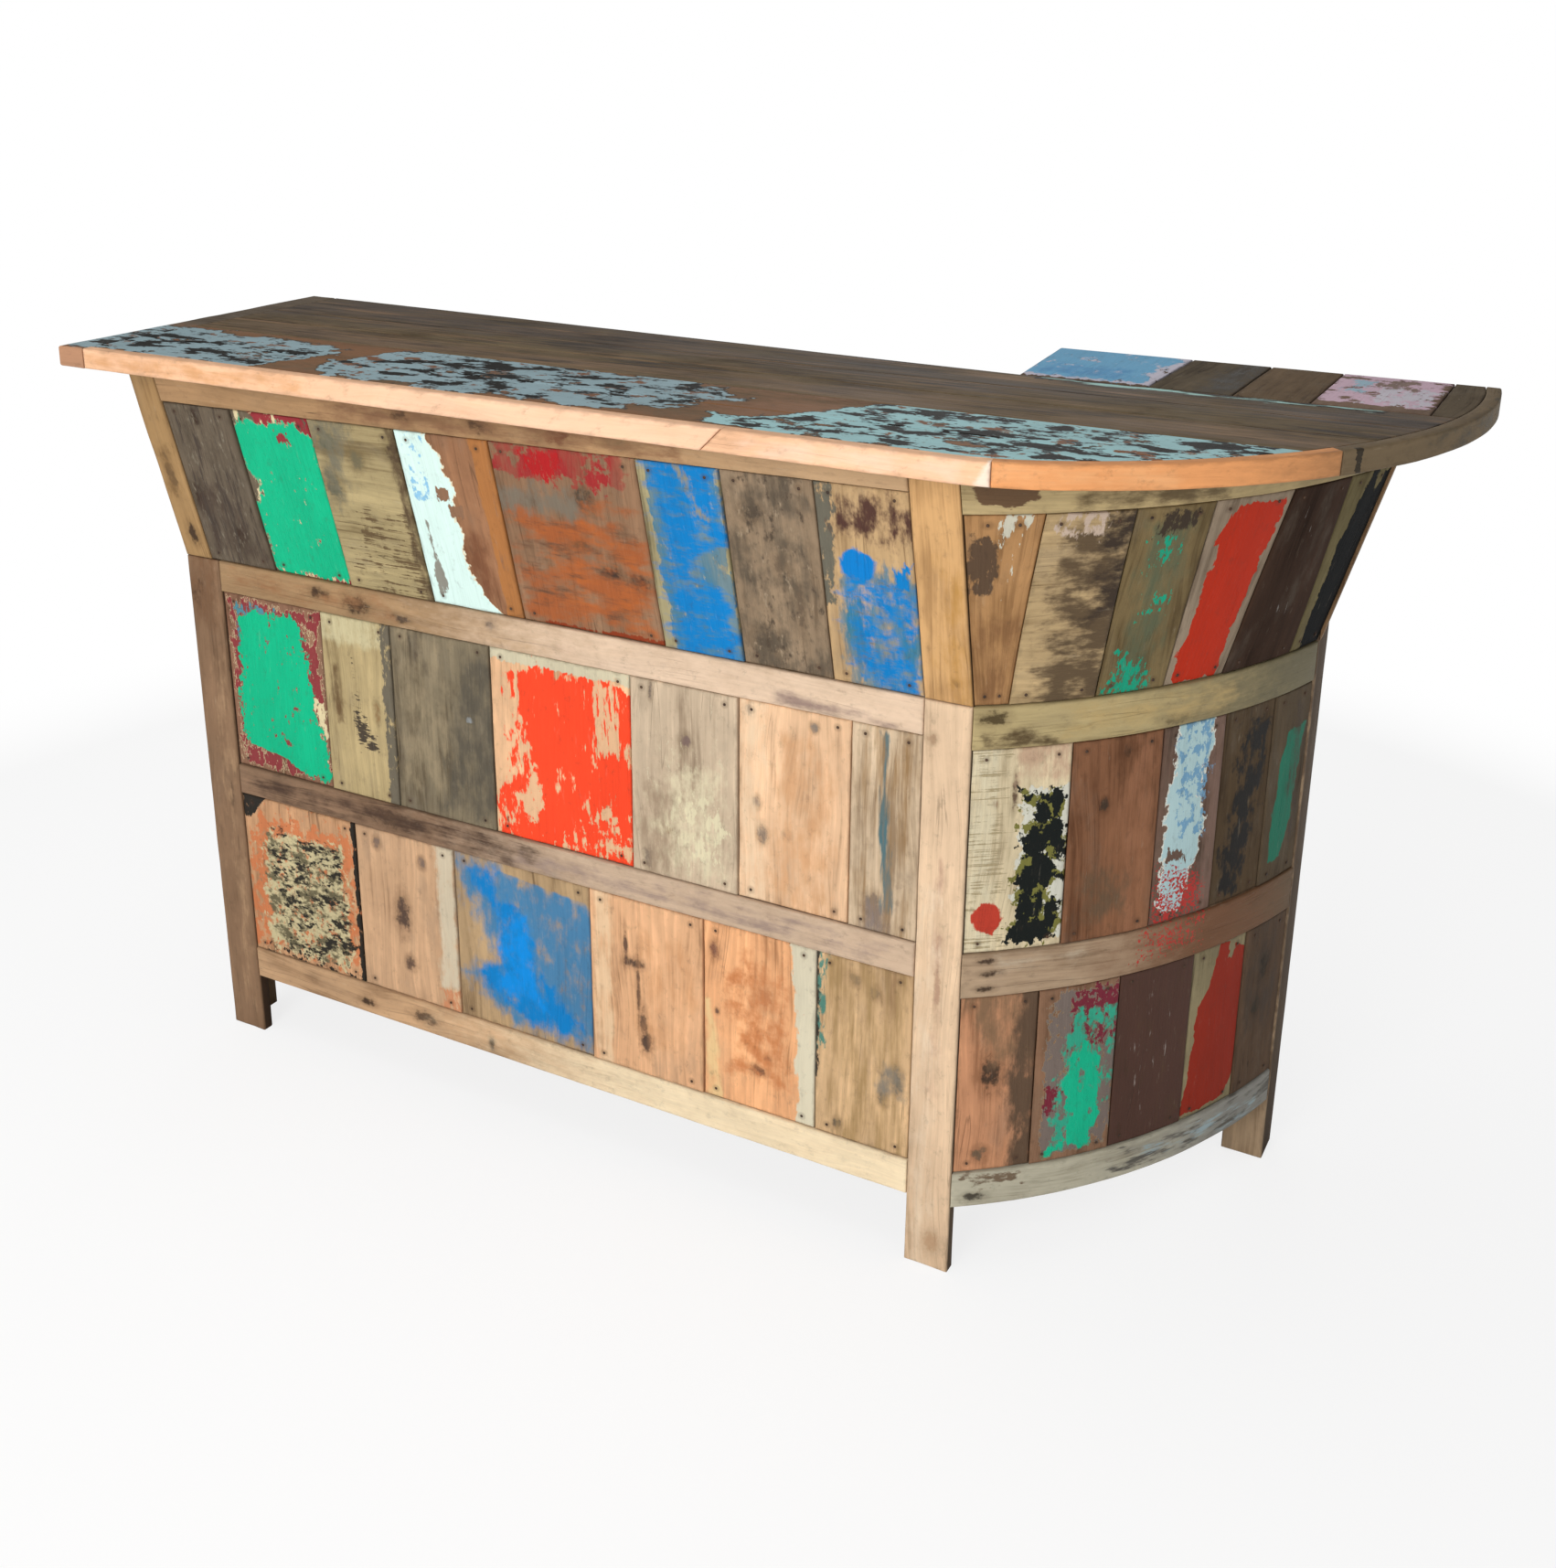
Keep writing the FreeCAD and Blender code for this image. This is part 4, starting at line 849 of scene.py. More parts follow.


# Staves toward the rear end have dark base colours: partly their own wood and paint, partly painted shade where the bow
# turns from the light.
brick_red = "BE2B08"
lower_shares = (0.0, 0.190, 0.403, 0.628, 0.820, 1.0)
bow_row("lower", [
    ("C78F6A", [
        stain("8E6E52", ((0.6, 0.4, 1.1), (1.0, -0.1, 1.1)), 0.2, 0.02, flake=(90, 14)),
        stain("66503E", ((-0.1, 0.76, 1.1), (0.28, 0.8, 1.1), (0.5, 0.66, 1.1), (0.75, 0.78, 1.1), (1.0, 0.8, 1.1)),
              -0.8, 0.010)], [knot(0.44, 0.56, 0.012, 0.022, "352D26"), knot(0.34, 0.1, 0.009, 0.009, "6A5A48")],
     dict(streak=0.3)),
    ("8A6850", [
        coat("7E7068", ((0.04, 0.12, 0.92), (0.9, 0.14, 1.1), (0.97, 0.3, 1.1)), 0.0, 0.006, flake=(160, 90),
             rim=("A89A7C", 0.1)),
        coat("7E2A3A", ((0.62, 0.35, 1.1), (0.98, 0.4, 1.1)), 0.4, 0.008, flake=(150, 110), rim=("B0A080", 0.06)),
        coat("7E2A3A", patch(0.1, 0.35, 0.3, 0.45), 0.4, 0.008, flake=(110, 80)),
        coat("38AE8E", ((0.04, 0.2, 0.75), (0.3, 0.2, 0.9), (0.7, 0.3, 1.05), (0.86, 0.4, 1.05)), 0.5, 0.014, 1.4,
             (36, 24), (110, 60), 6, soft=1.0),
        coat("12C093", ((0.05, 0.24, 0.72), (0.2, 0.42, 0.8), (0.36, 0.44, 0.85), (0.44, 0.24, 0.88),
                        (0.5, 0.42, 0.8), (0.66, 0.6, 0.9)), -0.1, 0.012, 1.2, (40, 26), (110, 50), 5, soft=0.6)], [],
     {}),
    ("54402F", [stain("553A30", patch(-0.1, 1.1, -0.1, 1.1), -0.6, 0.02, flake=(120, 8)),
                coat("9A8C84", patch(0.1, 0.9, 0.05, 0.98), 2.15, 0.02, flake=(280, 24), fine=8, soft=0.8)], [],
     dict(streak=0.4)),
    ("8A7E60", [
        coat("982810", ((0.04, 0.04, 0.82), (0.12, 0.06, 0.94), (0.4, 0.14, 1.0), (0.66, 0.2, 1.02),
                        (0.76, 0.36, 1.02), (0.9, 0.46, 1.02), (0.98, 0.5, 0.66)), -1.0, 0.004, 1.0, fine=2.0),
        coat("8A7E60", ((0.9, 0.68, 0.74), (1.0, 0.66, 0.8)), -0.8, 0.003, 0.6)], [], dict(streak=0.4)),
    ("5C4837", [stain("4A3A2C", patch(0.0, 1.0, 0.3, 1.0), 0.6, 0.02, flake=(90, 14))],
     [knot(0.5, 0.74, 0.01, 0.02, "2E2A22"), knot(0.38, 0.5, 0.009, 0.012, "3A342A")], dict(streak=0.5)),
], lower_shares, lower_shares, 160)

middle_shares = (0.0, 0.235, 0.470, 0.660, 0.840, 1.0)
bow_row("middle", [
    ("D6C5A2", [
        stain("E2D6B6", patch(-0.1, 0.3, 0.0, 1.0), 0.3, 0.01, flake=(150, 8)),
        coat("B3A27E", patch(-0.1, 0.46, 0.0, 1.0), 1.4, 0.01, flake=(8, 420), fine=9, soft=0.8),
        stain("C9A98C", patch(0.4, 1.1, 0.82, 1.1), 0.2, 0.01),
        coat("DAD8C8", ((0.06, 0.5, 1.02), (0.3, 0.5, 1.04), (0.8, 0.54, 1.04)), 0.0, 0.008, 1.3, (40, 30), (60, 50),
             5),
        coat("7C793C", ((0.03, 0.5, 0.96), (0.3, 0.5, 0.95), (0.78, 0.56, 0.94)), 0.1, 0.01, 1.4, (36, 30), (70, 60),
             6),
        coat("151A18", ((0.02, 0.46, 0.97), (0.3, 0.46, 0.97), (0.44, 0.58, 0.98), (0.8, 0.54, 0.98)), 0.3, 0.01, 2.0,
             (30, 26), (90, 60), 6),
        coat("C2412F", ((0.1, 0.17, 0.27), (0.12, 0.125, 0.32), (0.145, 0.1, 0.345), (0.17, 0.09, 0.35),
                        (0.195, 0.1, 0.34), (0.222, 0.13, 0.31), (0.24, 0.18, 0.26)), -0.7, 0.005, 0.9, fine=2.0,
             soft=0.6)], [knot(0.25, 0.74, 0.003, 0.004, "7A4A34"), knot(0.44, 0.78, 0.003, 0.02, "5A4436"),
                          knot(0.6, 0.95, 0.012, 0.006, "8A6A58")], dict(streak=0.15, edge_grime_and_shade=0.3)),
    ("855B40", [stain("9A6A4C", patch(0.55, 1.0, 0.0, 1.0), 0.5, 0.02, flake=(120, 8)),
                stain("6E5640", patch(0.2, 0.7, 0.1, 0.35), 0.2, 0.014)],
     [knot(0.37, 0.67, 0.006, 0.008, "3E342A"), knot(0.6, 0.93, 0.006, 0.008, "4A3424")], dict(streak=0.3)),
    ("6C5548", [
        stain("82675A", patch(0.75, 1.1, -0.1, 1.1), 0.1, 0.01, flake=(140, 8)),
        coat("B7D4D6", ((0.06, 0.22, 0.42), (0.2, 0.16, 0.52), (0.34, 0.2, 0.66), (0.5, 0.18, 0.72),
                        (0.62, 0.16, 0.6), (0.74, 0.26, 0.64), (0.86, 0.26, 0.74), (1.1, 0.3, 0.76)), -0.8, 0.006,
             1.3, (60, 40), fine=3.0, rim=("E2E2D6", 0.4)),
        coat("78A6C6", patch(0.24, 0.8, 0.4, 1.0), 0.9, 0.01, 1.0, flake=(90, 60), fine=8, soft=0.6),
        coat("6C5548", patch(0.2, 0.44, 0.31, 0.355), -0.2, 0.006, 1.6),
        coat("C03A34", ((-0.1, -0.1, 0.9), (0.2, 0.0, 0.8), (0.28, 0.1, 0.6)), 0.75, 0.02, 0.8, flake=(250, 250),
             fine=9)], [], dict(streak=0.4)),
    ("54432F", [
        coat("201D1A", ((0.04, 0.1, 0.5), (0.3, 0.12, 0.85), (0.6, 0.28, 0.9), (0.9, 0.34, 0.9)), -0.1, 0.014, 1.3,
             (36, 22), (90, 40), 5, soft=1.2)], [], dict(streak=0.5)),
    ("584A38", [coat("13755A", ((0.12, 0.24, 0.5), (0.24, 0.24, 0.66), (0.6, 0.3, 0.78), (0.78, 0.42, 0.86)), -0.9,
                     0.005, 0.8, fine=2.5, soft=0.7),
                stain("46392C", patch(0.5, 1.0, 0.1, 1.0), 0.8, 0.02, flake=(120, 10))], [], dict(streak=0.4)),
], middle_shares, middle_shares, 170)

bow_row("upper", [
    ("B08558", [
        stain("8A6340", patch(-0.1, 1.1, -0.1, 0.5), 0.5, 0.02, flake=(120, 8)),
        coat("D6D2BE", ((0.55, 0.42, 0.6), (0.8, 0.45, 0.75), (1.1, 0.35, 0.85)), 0.85, 0.012, flake=(120, 26),
             fine=7),
        coat("5F4A38", ((0.6, 0.08, 0.34), (0.68, 0.02, 0.42), (0.84, 0.02, 0.42), (0.9, 0.1, 0.34)), -0.4, 0.005,
             soft=0.8)], [], dict(streak=0.35)),
    ("B79D74", [
        stain("64523C", ((-0.1, 0.3, 1.1), (0.4, 0.32, 1.1), (0.75, 0.22, 1.1), (0.9, 0.3, 1.1)), -0.1, 0.02, 1.6,
              (24, 40), (34, 120), 4),
        stain("40342A", ((0.4, 0.74, 1.1), (1.1, 0.62, 1.1)), 0.1, 0.012, 1.4, (34, 34), (40, 90), 4),
        coat("CDB7A4", patch(0.15, 0.75, 0.86, 1.1), 0.35, 0.01, soft=0.8)], [], dict(streak=0.4, turned=True)),
    ("7C6A48", [
        stain("62664C", ((-0.1, 0.22, 0.72), (0.9, 0.25, 0.8)), 0.2, 0.015, flake=(110, 20)),
        coat("18A682", ((-0.1, 0.08, 0.72), (0.12, 0.1, 0.7), (0.22, 0.22, 0.4)), 0.55, 0.010, 1.3, (60, 30),
             (190, 80), 8),
        coat("18A682", ((0.38, 0.3, 0.64), (0.58, 0.4, 0.7)), 1.0, 0.012, 1.3, (60, 30), (190, 80), 8),
        coat("18A682", ((0.68, 0.3, 0.8), (0.86, 0.3, 0.62)), 0.95, 0.012, 1.3, (60, 30), (190, 80), 8),
        coat("42362A", patch(0.3, 0.85, 0.85, 0.97), 0.3, 0.008, soft=0.8)], [], dict(streak=0.4)),
    ("958470", [
        coat(brick_red, ((0.02, 0.14, 0.8), (0.2, 0.12, 0.8), (0.3, 0.2, 0.82), (0.6, 0.2, 0.84), (0.85, 0.2, 0.88),
                         (0.95, 0.34, 0.88)), -1.0, 0.004, 1.2, (70, 40), fine=2.5)], [], dict(streak=0.35)),
    ("3A2A21", [coat("8A847E", patch(0.3, 0.75, 0.1, 0.95), 2.0, 0.02, flake=(260, 12), fine=8)], [],
     dict(streak=0.35, shine=0.04)),
    ("6E6447", [
        coat("0D0F10", ((-0.1, 0.3, 1.1), (0.68, 0.32, 1.1), (0.8, 0.42, 0.8), (0.92, 0.5, 0.62), (0.98, 0.54, 0.58)),
             -0.8, 0.005, fine=3),
        coat("0D0F10", ((0.6, 0.7, 1.1), (0.98, 0.82, 1.1)), -0.6, 0.005, fine=3)], [], dict(streak=0.4, shine=0.02)),
], (0.0, 0.077, 0.279, 0.456, 0.630, 0.871, 1.0), (0.0, 0.147, 0.316, 0.480, 0.670, 0.838, 1.0), 180)


# Left end: a flat frame of four short rails with three planks in each bay, closed at the back by the rear leg.
# The same old boards as the front, most of them bare.
low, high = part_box("end_rails")
end_left, end_front, end_back = low.x, low.y, high.y
end_rail_seed, end_plank_seed = 200, 210
top_rail_foot = under_top - top_rail_left
rail_boxes = [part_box("front_" + name + "_rail") for name in ("bottom", "middle", "knee")]
rail_levels = [(foot_corner.z, head_corner.z) for foot_corner, head_corner in rail_boxes]
rail_levels.append((top_rail_foot, under_top))
for seed, (foot, head) in enumerate(rail_levels, end_rail_seed):
    length = end_back - end_front

    def end_rail_place(a, b, d, foot=foot):
        return Vector((end_left + d, end_front + b, foot + a))

    finish = timber(f"end_rail_{seed}_wood", grades("A8835F"), seed, head - foot, length, streak=0.4, edge_grime_and_shade=0.4)
    piece = board(f"end_rail_{seed - end_rail_seed + 1}", end_rail_place, head - foot, length, frame_thickness,
                  finish, seed, worn=0.003)
    fitted(piece, "frame_wood", "end_rails")

end_shares = (0.0, 0.36, 0.64, 1.0)
end_looks = [
    [("8C6C4A", [], [knot(0.5, 0.4)]),
     ("6C5A48", [coat(boat_blue, patch(0.1, 0.9, 0.3, 0.9), 0.3, 0.014, 1.3, soft=0.8)], []),
     ("C8925E", [], [knot(0.3, 0.7)])],
    [("B99A66", [], [knot(0.7, 0.3)]),
     ("8A5E42", [coat(sea_green, patch(0.12, 0.9, 0.1, 0.85), -0.3, 0.008, rim=(cream, 0.25))], []),
     ("76685A", [], [knot(0.4, 0.6)])],
    [("5E5244", [], []),
     ("8C6C4A", [coat(mint_white, patch(-0.1, 0.5, -0.1, 1.1), -0.6, 0.006, 1.4, rim=("E8DCBC", 0.4))], []),
     ("B48E5A", [], [knot(0.5, 0.8)])]]
seed = end_plank_seed
for (foot, head), looks in zip([(rail_levels[i][1], rail_levels[i + 1][0]) for i in range(3)], end_looks):
    for number, (code, coats, knots) in enumerate(looks):
        seed += 1
        front = end_front + (end_back - end_front) * end_shares[number] + plank_gap / 2
        width = (end_back - end_front) * (end_shares[number + 1] - end_shares[number]) - plank_gap
        length = head - foot - plank_gap

        def end_plank_place(a, b, d, front=front, width=width, foot=foot):
            return Vector((end_left + plank_recess + d, front + width - a, foot + plank_gap / 2 + b))

        finish = timber(f"end_plank_{seed}_finish", grades(code), seed, width, length, coats=coats, knots=knots,
                        nailed=nail_inset)
        piece = board(f"end_plank_{seed - end_plank_seed}", end_plank_place, width, length,
                      frame_thickness - plank_recess, finish, seed)
        fitted(piece, "painted_planks", "end_planks")
        drive_nails(end_plank_place, width, length)


# Nails: hand-driven iron nails with flat round heads, four to a plank, gone brown with rust.
# Geometry Nodes set one head on each place that the planks noted, facing out of the plank.
nail_radius = 0.0020
nail_flatness = 0.35
nail_steel = bpy.data.materials.new("nail_iron")
nail_steel.use_nodes = True
iron = Shade(nail_steel.node_tree, None)
iron_spot = iron.node("TexCoord", {}, output=3)
iron_rust = iron_spot.grit((240, 240, 240), 4.0, 0.6).rise(0.35, 0.7)
iron_colour = iron_rust.mix(tint("3A2E26"), tint("6A503E"))
iron_shader = nail_steel.node_tree.nodes["Principled BSDF"]
nail_steel.node_tree.links.new(iron_colour.socket, iron_shader.inputs["Base Color"])
nail_steel.node_tree.links.new((iron_rust * 0.3 + 0.5).socket, iron_shader.inputs["Roughness"])
iron_shader.inputs["Metallic"].default_value = 0.6

nail_tree = bpy.data.node_groups.new("nail_heads", "GeometryNodeTree")
nail_tree.interface.new_socket("Geometry", in_out="INPUT", socket_type="NodeSocketGeometry")
radius_input = nail_tree.interface.new_socket("Head radius", in_out="INPUT", socket_type="NodeSocketFloat")
height_input = nail_tree.interface.new_socket("Head flatness", in_out="INPUT", socket_type="NodeSocketFloat")
nail_tree.interface.new_socket("Geometry", in_out="OUTPUT", socket_type="NodeSocketGeometry")
group_in = nail_tree.nodes.new("NodeGroupInput")
group_out = nail_tree.nodes.new("NodeGroupOutput")
head_ball = nail_tree.nodes.new("GeometryNodeMeshUVSphere")
head_ball.inputs["Segments"].default_value = 10
head_ball.inputs["Rings"].default_value = 6
flatten = nail_tree.nodes.new("GeometryNodeTransform")
flat_scale = nail_tree.nodes.new("ShaderNodeCombineXYZ")
flat_scale.inputs[0].default_value = 1.0
flat_scale.inputs[1].default_value = 1.0
outward = nail_tree.nodes.new("GeometryNodeInputNamedAttribute")
outward.data_type = "FLOAT_VECTOR"
outward.inputs["Name"].default_value = "outward"
aim = nail_tree.nodes.new("FunctionNodeAlignRotationToVector")
aim.axis = "Z"
scatter = nail_tree.nodes.new("GeometryNodeInstanceOnPoints")
realize = nail_tree.nodes.new("GeometryNodeRealizeInstances")
finish_heads = nail_tree.nodes.new("GeometryNodeSetMaterial")
finish_heads.inputs["Material"].default_value = nail_steel
for source, target in (
        (group_in.outputs["Head radius"], head_ball.inputs["Radius"]),
        (group_in.outputs["Head flatness"], flat_scale.inputs[2]),
        (head_ball.outputs["Mesh"], flatten.inputs["Geometry"]),
        (flat_scale.outputs[0], flatten.inputs["Scale"]),
        (outward.outputs["Attribute"], aim.inputs["Vector"]),
        (group_in.outputs["Geometry"], scatter.inputs["Points"]),
        (flatten.outputs["Geometry"], scatter.inputs["Instance"]),
        (aim.outputs["Rotation"], scatter.inputs["Rotation"]),
        (scatter.outputs["Instances"], realize.inputs["Geometry"]),
        (realize.outputs["Geometry"], finish_heads.inputs["Geometry"]),
        (finish_heads.outputs["Geometry"], group_out.inputs["Geometry"])):
    nail_tree.links.new(source, target)

nail_points = bpy.data.meshes.new("nail_points")
nail_points.from_pydata([place for place, out in nail_places], [], [])
outs = nail_points.attributes.new("outward", "FLOAT_VECTOR", "POINT")
outs.data.foreach_set("vector", [value for place, out in nail_places for value in out])
nail_seed = bpy.data.objects.new("nail_seed", nail_points)
bpy.context.scene.collection.objects.link(nail_seed)
nail_modifier = nail_seed.modifiers.new("heads", "NODES")
nail_modifier.node_group = nail_tree
nail_modifier[radius_input.identifier] = nail_radius
nail_modifier[height_input.identifier] = nail_flatness
bpy.context.view_layer.update()
nail_mesh = bpy.data.meshes.new_from_object(nail_seed.evaluated_get(bpy.context.evaluated_depsgraph_get()))
bpy.data.objects.remove(nail_seed)
nails = bpy.data.objects.new("nail_heads", nail_mesh)
bpy.context.scene.collection.objects.link(nails)
fitted(nails, "nails", "plank_nails")


# Top: boards laid along the front, with five more across them on the short return at the back.
# The two front boards still carry flaking pale paint; the rest are worn brown from use.
counter_top = cad_box[1].z
top_thickness = counter_top - under_top
band = 0.018
left_band = 0.046
curve_radius, corner_radius = 0.637, 0.250
top_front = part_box("front_edge_bands")[0].y
top_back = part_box("return_boards")[1].y
curve_start_overhang, top_tip_overhang = 0.055, 0.161
return_left_overhang, return_left_skew = 0.043, 0.020
curve_start = Vector((bow_start_x + curve_start_overhang, top_front))
curve_tip = Vector((bow_foot_x + top_tip_overhang, top_back))
chord = curve_tip - curve_start
curve_rise = math.sqrt(curve_radius ** 2 - (chord.length / 2) ** 2)
curve_centre = (curve_start + curve_tip) / 2 + Vector((-chord.y, chord.x)).normalized() * curve_rise
corner_y = top_front + corner_radius
corner_run = math.sqrt((curve_radius - corner_radius) ** 2 - (corner_y - curve_centre.y) ** 2)
corner_centre = Vector((curve_centre.x + corner_run, corner_y))
corner_turn = math.atan2(corner_y - curve_centre.y, corner_run)
corner_end_y = corner_centre.y + corner_radius * math.sin(corner_turn)
main_left_depth, main_right_depth = 0.532, 0.468
left_overhang, left_skew = 0.065, 0.032
top_left_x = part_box("front_left_leg")[0].x - left_overhang
step_y = top_front + main_right_depth
step_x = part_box("inner_corner_leg")[0].x - return_left_overhang + return_left_skew
back_left_y = top_front + main_left_depth


def left_x(y, inset=0.0):
    return top_left_x - left_skew * (y - top_front) / main_left_depth + inset


def right_x(y, inset=0.0):
    if y < corner_end_y:
        reach = (corner_radius - inset) ** 2 - (y - corner_centre.y) ** 2
        return corner_centre.x + math.sqrt(max(reach, 0.0))
    return curve_centre.x + math.sqrt((curve_radius - inset) ** 2 - (y - curve_centre.y) ** 2)


def flat_x(spot):
    return spot.vector(spot.axis(1) - top_front, spot.axis(0) - top_left_x, counter_top - spot.axis(2))


top_length = right_x(0.0) - top_left_x
paint_limits = ((0.0, 0.04, 0.42), (0.19, 0.04, 0.36), (0.215, 0.3, 0.3), (0.235, 0.2, 0.2), (0.25, 0.06, 0.46),
                (0.3, 0.05, 0.48), (0.5, 0.05, 0.46), (0.545, 0.2, 0.42), (0.565, 0.3, 0.3), (0.59, 0.1, 0.1),
                (0.6, 0.04, 0.14), (0.64, 0.04, 0.3), (0.67, 0.04, 0.5), (0.8, 0.04, 0.5), (0.9, 0.06, 0.52),
                (0.955, 0.2, 0.5))
top_coats = [
    stain("7E593C", patch(-0.1, 0.5, -0.1, 1.1), 0.2, 0.03, scale=(14, 5)),
    coat("8FA6AC", paint_limits[:9], -0.1, 0.020, 1.6, (20, 11), (60, 34), 5, rim=("463E36", 0.4), soft=0.25),
    coat("98C0C2", paint_limits[9:], -0.1, 0.020, 1.6, (20, 11), (60, 34), 5, rim=("463E36", 0.4), soft=0.25),
    coat("7A5238", paint_limits, 1.7, 0.014, 0.6, (12, 8), (36, 21), 9, soft=0.35),
    coat("16140F", paint_limits, 1.15, 0.014, 0.5, (9, 6), (34, 15), 9, rim=("5C6466", 0.12), soft=0.35)]
board_cuts = [0.0]
main_board_shares = (0.21, 0.23, 0.20, 0.18, 0.18)
painted_boards = 2
for share in main_board_shares:
    board_cuts.append(board_cuts[-1] + share * (main_right_depth - band))
rear_coats = [
    stain("544A42", patch(0.72, 1.3, -0.1, 1.1), 0.2, 0.04, scale=(12, 4), flake=(90, 5)),
    stain("6E5A46", ((-0.1, 0.4, 0.66), (1.1, 0.4, 0.66)), 0.45, 0.05, 1.3, (14, 4), (90, 5)),
    stain("8C6E50", patch(0.3, 1.1, -0.1, 1.1), 1.5, 0.04, 1.0, (30, 3), (210, 4), 7),
    stain("342C26", patch(0.45, 1.1, -0.1, 1.1), 1.4, 0.04, 1.2, (22, 5), (110, 6), 7),
    coat("2A2420", ((0.72, 0.965, 1.1), (0.97, 0.965, 1.1)), 0.1, 0.006, soft=0.6),
    coat("9CC2BA", ((0.72, 0.955, 1.1), (0.97, 0.955, 1.1)), 0.75, 0.008, 1.3, (60, 7), (120, 12), 7, soft=0.5)]
painted_finish = timber("painted_top_finish", grades("6A5946"), 70, main_right_depth, top_length, coats=top_coats,
                        streak=0.5, edge_grime_and_shade=0.0, source=flat_x, rough=0.75, shine=0.05)
rear_finish = timber("rear_top_finish", grades("675944"), 71, main_right_depth, top_length, coats=rear_coats,
                     streak=0.9, edge_grime_and_shade=0.0, source=flat_x, grey=0.3, rough=0.75, shine=0.05)
board_gap = 0.0008
for number in range(len(main_board_shares)):
    start = top_front + band + board_cuts[number] + board_gap / 2
    width = board_cuts[number + 1] - board_cuts[number] - board_gap
    length = right_x(start + width, band) - left_x(start, left_band)
    last = number == len(main_board_shares) - 1

    def top_place(a, b, d, start=start, width=width, length=length, last=last):
        y = start + a
        x = left_x(y, left_band) + (right_x(y, band) - left_x(y, left_band)) * b / length
        if last:
            spare = max(0.0, (step_x - x) / (step_x - left_x(step_y, left_band)))
            y = start + a * (width + (back_left_y - step_y) * spare) / width
        return Vector((x, y, counter_top - d))

    painted = number < painted_boards
    piece = board(f"top_board_{number + 1}", top_place, width, length, top_thickness,
                  painted_finish if painted else rear_finish, 72 + number, worn=0.0016, warp=0.0005, step=0.025)
    fitted(piece, "painted_top" if painted else "top_wood", "top_front_boards" if painted else "top_rear_boards")

return_length = top_back - step_y
return_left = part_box("return_boards")[0].x
return_right = curve_centre.x + curve_radius - band
return_looks = [
    ("5E4E40", [coat("B9B4C0", patch(-0.1, 1.1, 0.03, 1.1), 0.0, 0.006),
                coat("5A9CC0", patch(-0.1, 0.92, 0.08, 1.1), -0.3, 0.012, soft=0.8, flake=(60, 30)),
                stain("3E86B4", patch(0.05, 0.8, 0.1, 0.5), 0.4, 0.02)]),
    ("574B3A", [stain("3A332A", patch(0.5, 1.1, -0.1, 1.1), 0.2, 0.02)]),
    ("63513D", []),
    ("6A5648", [coat("C4A6B4", patch(-0.1, 0.97, 0.12, 1.1), 0.15, 0.01, 1.2, (30, 40), (40, 60), 6, soft=0.6),
                coat("BEB8C0", patch(0.4, 0.95, 0.15, 0.7), 0.2, 0.012, soft=0.8),
                coat("94B0BE", patch(0.15, 0.36, 0.45, 0.85), 0.1, 0.01, soft=0.8),
                coat("7A6458", ((0.6, 0.35, 0.8), (0.95, 0.4, 0.75)), 0.4, 0.012, flake=(90, 40), soft=0.8)]),
    ("5C5040", [])]
return_shares = (0.333, 0.186, 0.164, 0.242, 0.075)
least_board = 0.004
cut = return_left
for number, (share, (code, coats)) in enumerate(zip(return_shares, return_looks)):
    seed = 80 + number
    left = cut + board_gap / 2
    cut += share * (return_right - return_left)
    right = cut - board_gap / 2
    width = right - left

    def return_place(a, b, d, left=left, right=right, width=width, first=number == 0):
        y = step_y + board_gap + b
        near = left + (step_x - return_left) * (1 - b / return_length) if first else left
        far = min(right, right_x(y, band))
        near = min(near, far - least_board)
        return Vector((near + (far - near) * a / width, y, counter_top - d))

    finish = timber(f"return_board_{number + 1}_finish", grades(code), seed, width, return_length, coats=coats,
                    streak=0.5, edge_grime_and_shade=0.4, rough=0.75, shine=0.05)
    piece = board(f"return_board_{number + 1}", return_place, width, return_length - board_gap, top_thickness, finish,
                  seed, worn=0.0016, warp=0.0005)
    fitted(piece, "top_wood", "return_boards")


# Edge bands: newer strips of planed timber glued round the top, joined with a slanted scarf on the front.
# The tip keeps an older, darker strip.
def edge_path(run):
    """(point, inward) on the top's rim, by the distance from the front's left end."""
    straight = corner_centre.x - left_x(top_front, left_band)
    if run <= straight:
        return Vector((left_x(top_front, left_band) + run, top_front)), Vector((0.0, 1.0))
    turn = -math.pi / 2 + (run - straight) / corner_radius
    if turn <= corner_turn:
        out = Vector((math.cos(turn), math.sin(turn)))
        return corner_centre + out * corner_radius, -out
    run -= straight + (corner_turn + math.pi / 2) * corner_radius
    turn = corner_turn + run / curve_radius
    out = Vector((math.cos(turn), math.sin(turn)))
    return curve_centre + out * curve_radius, -out


def run_at(turn, pace=0.0005):
    """The distance along the rim at which it has turned so far round the curve's centre."""
    run = 0.0
    while True:
        point = edge_path(run)[0] - curve_centre
        if math.atan2(point.y, point.x) >= turn:
            return run
        run += pace


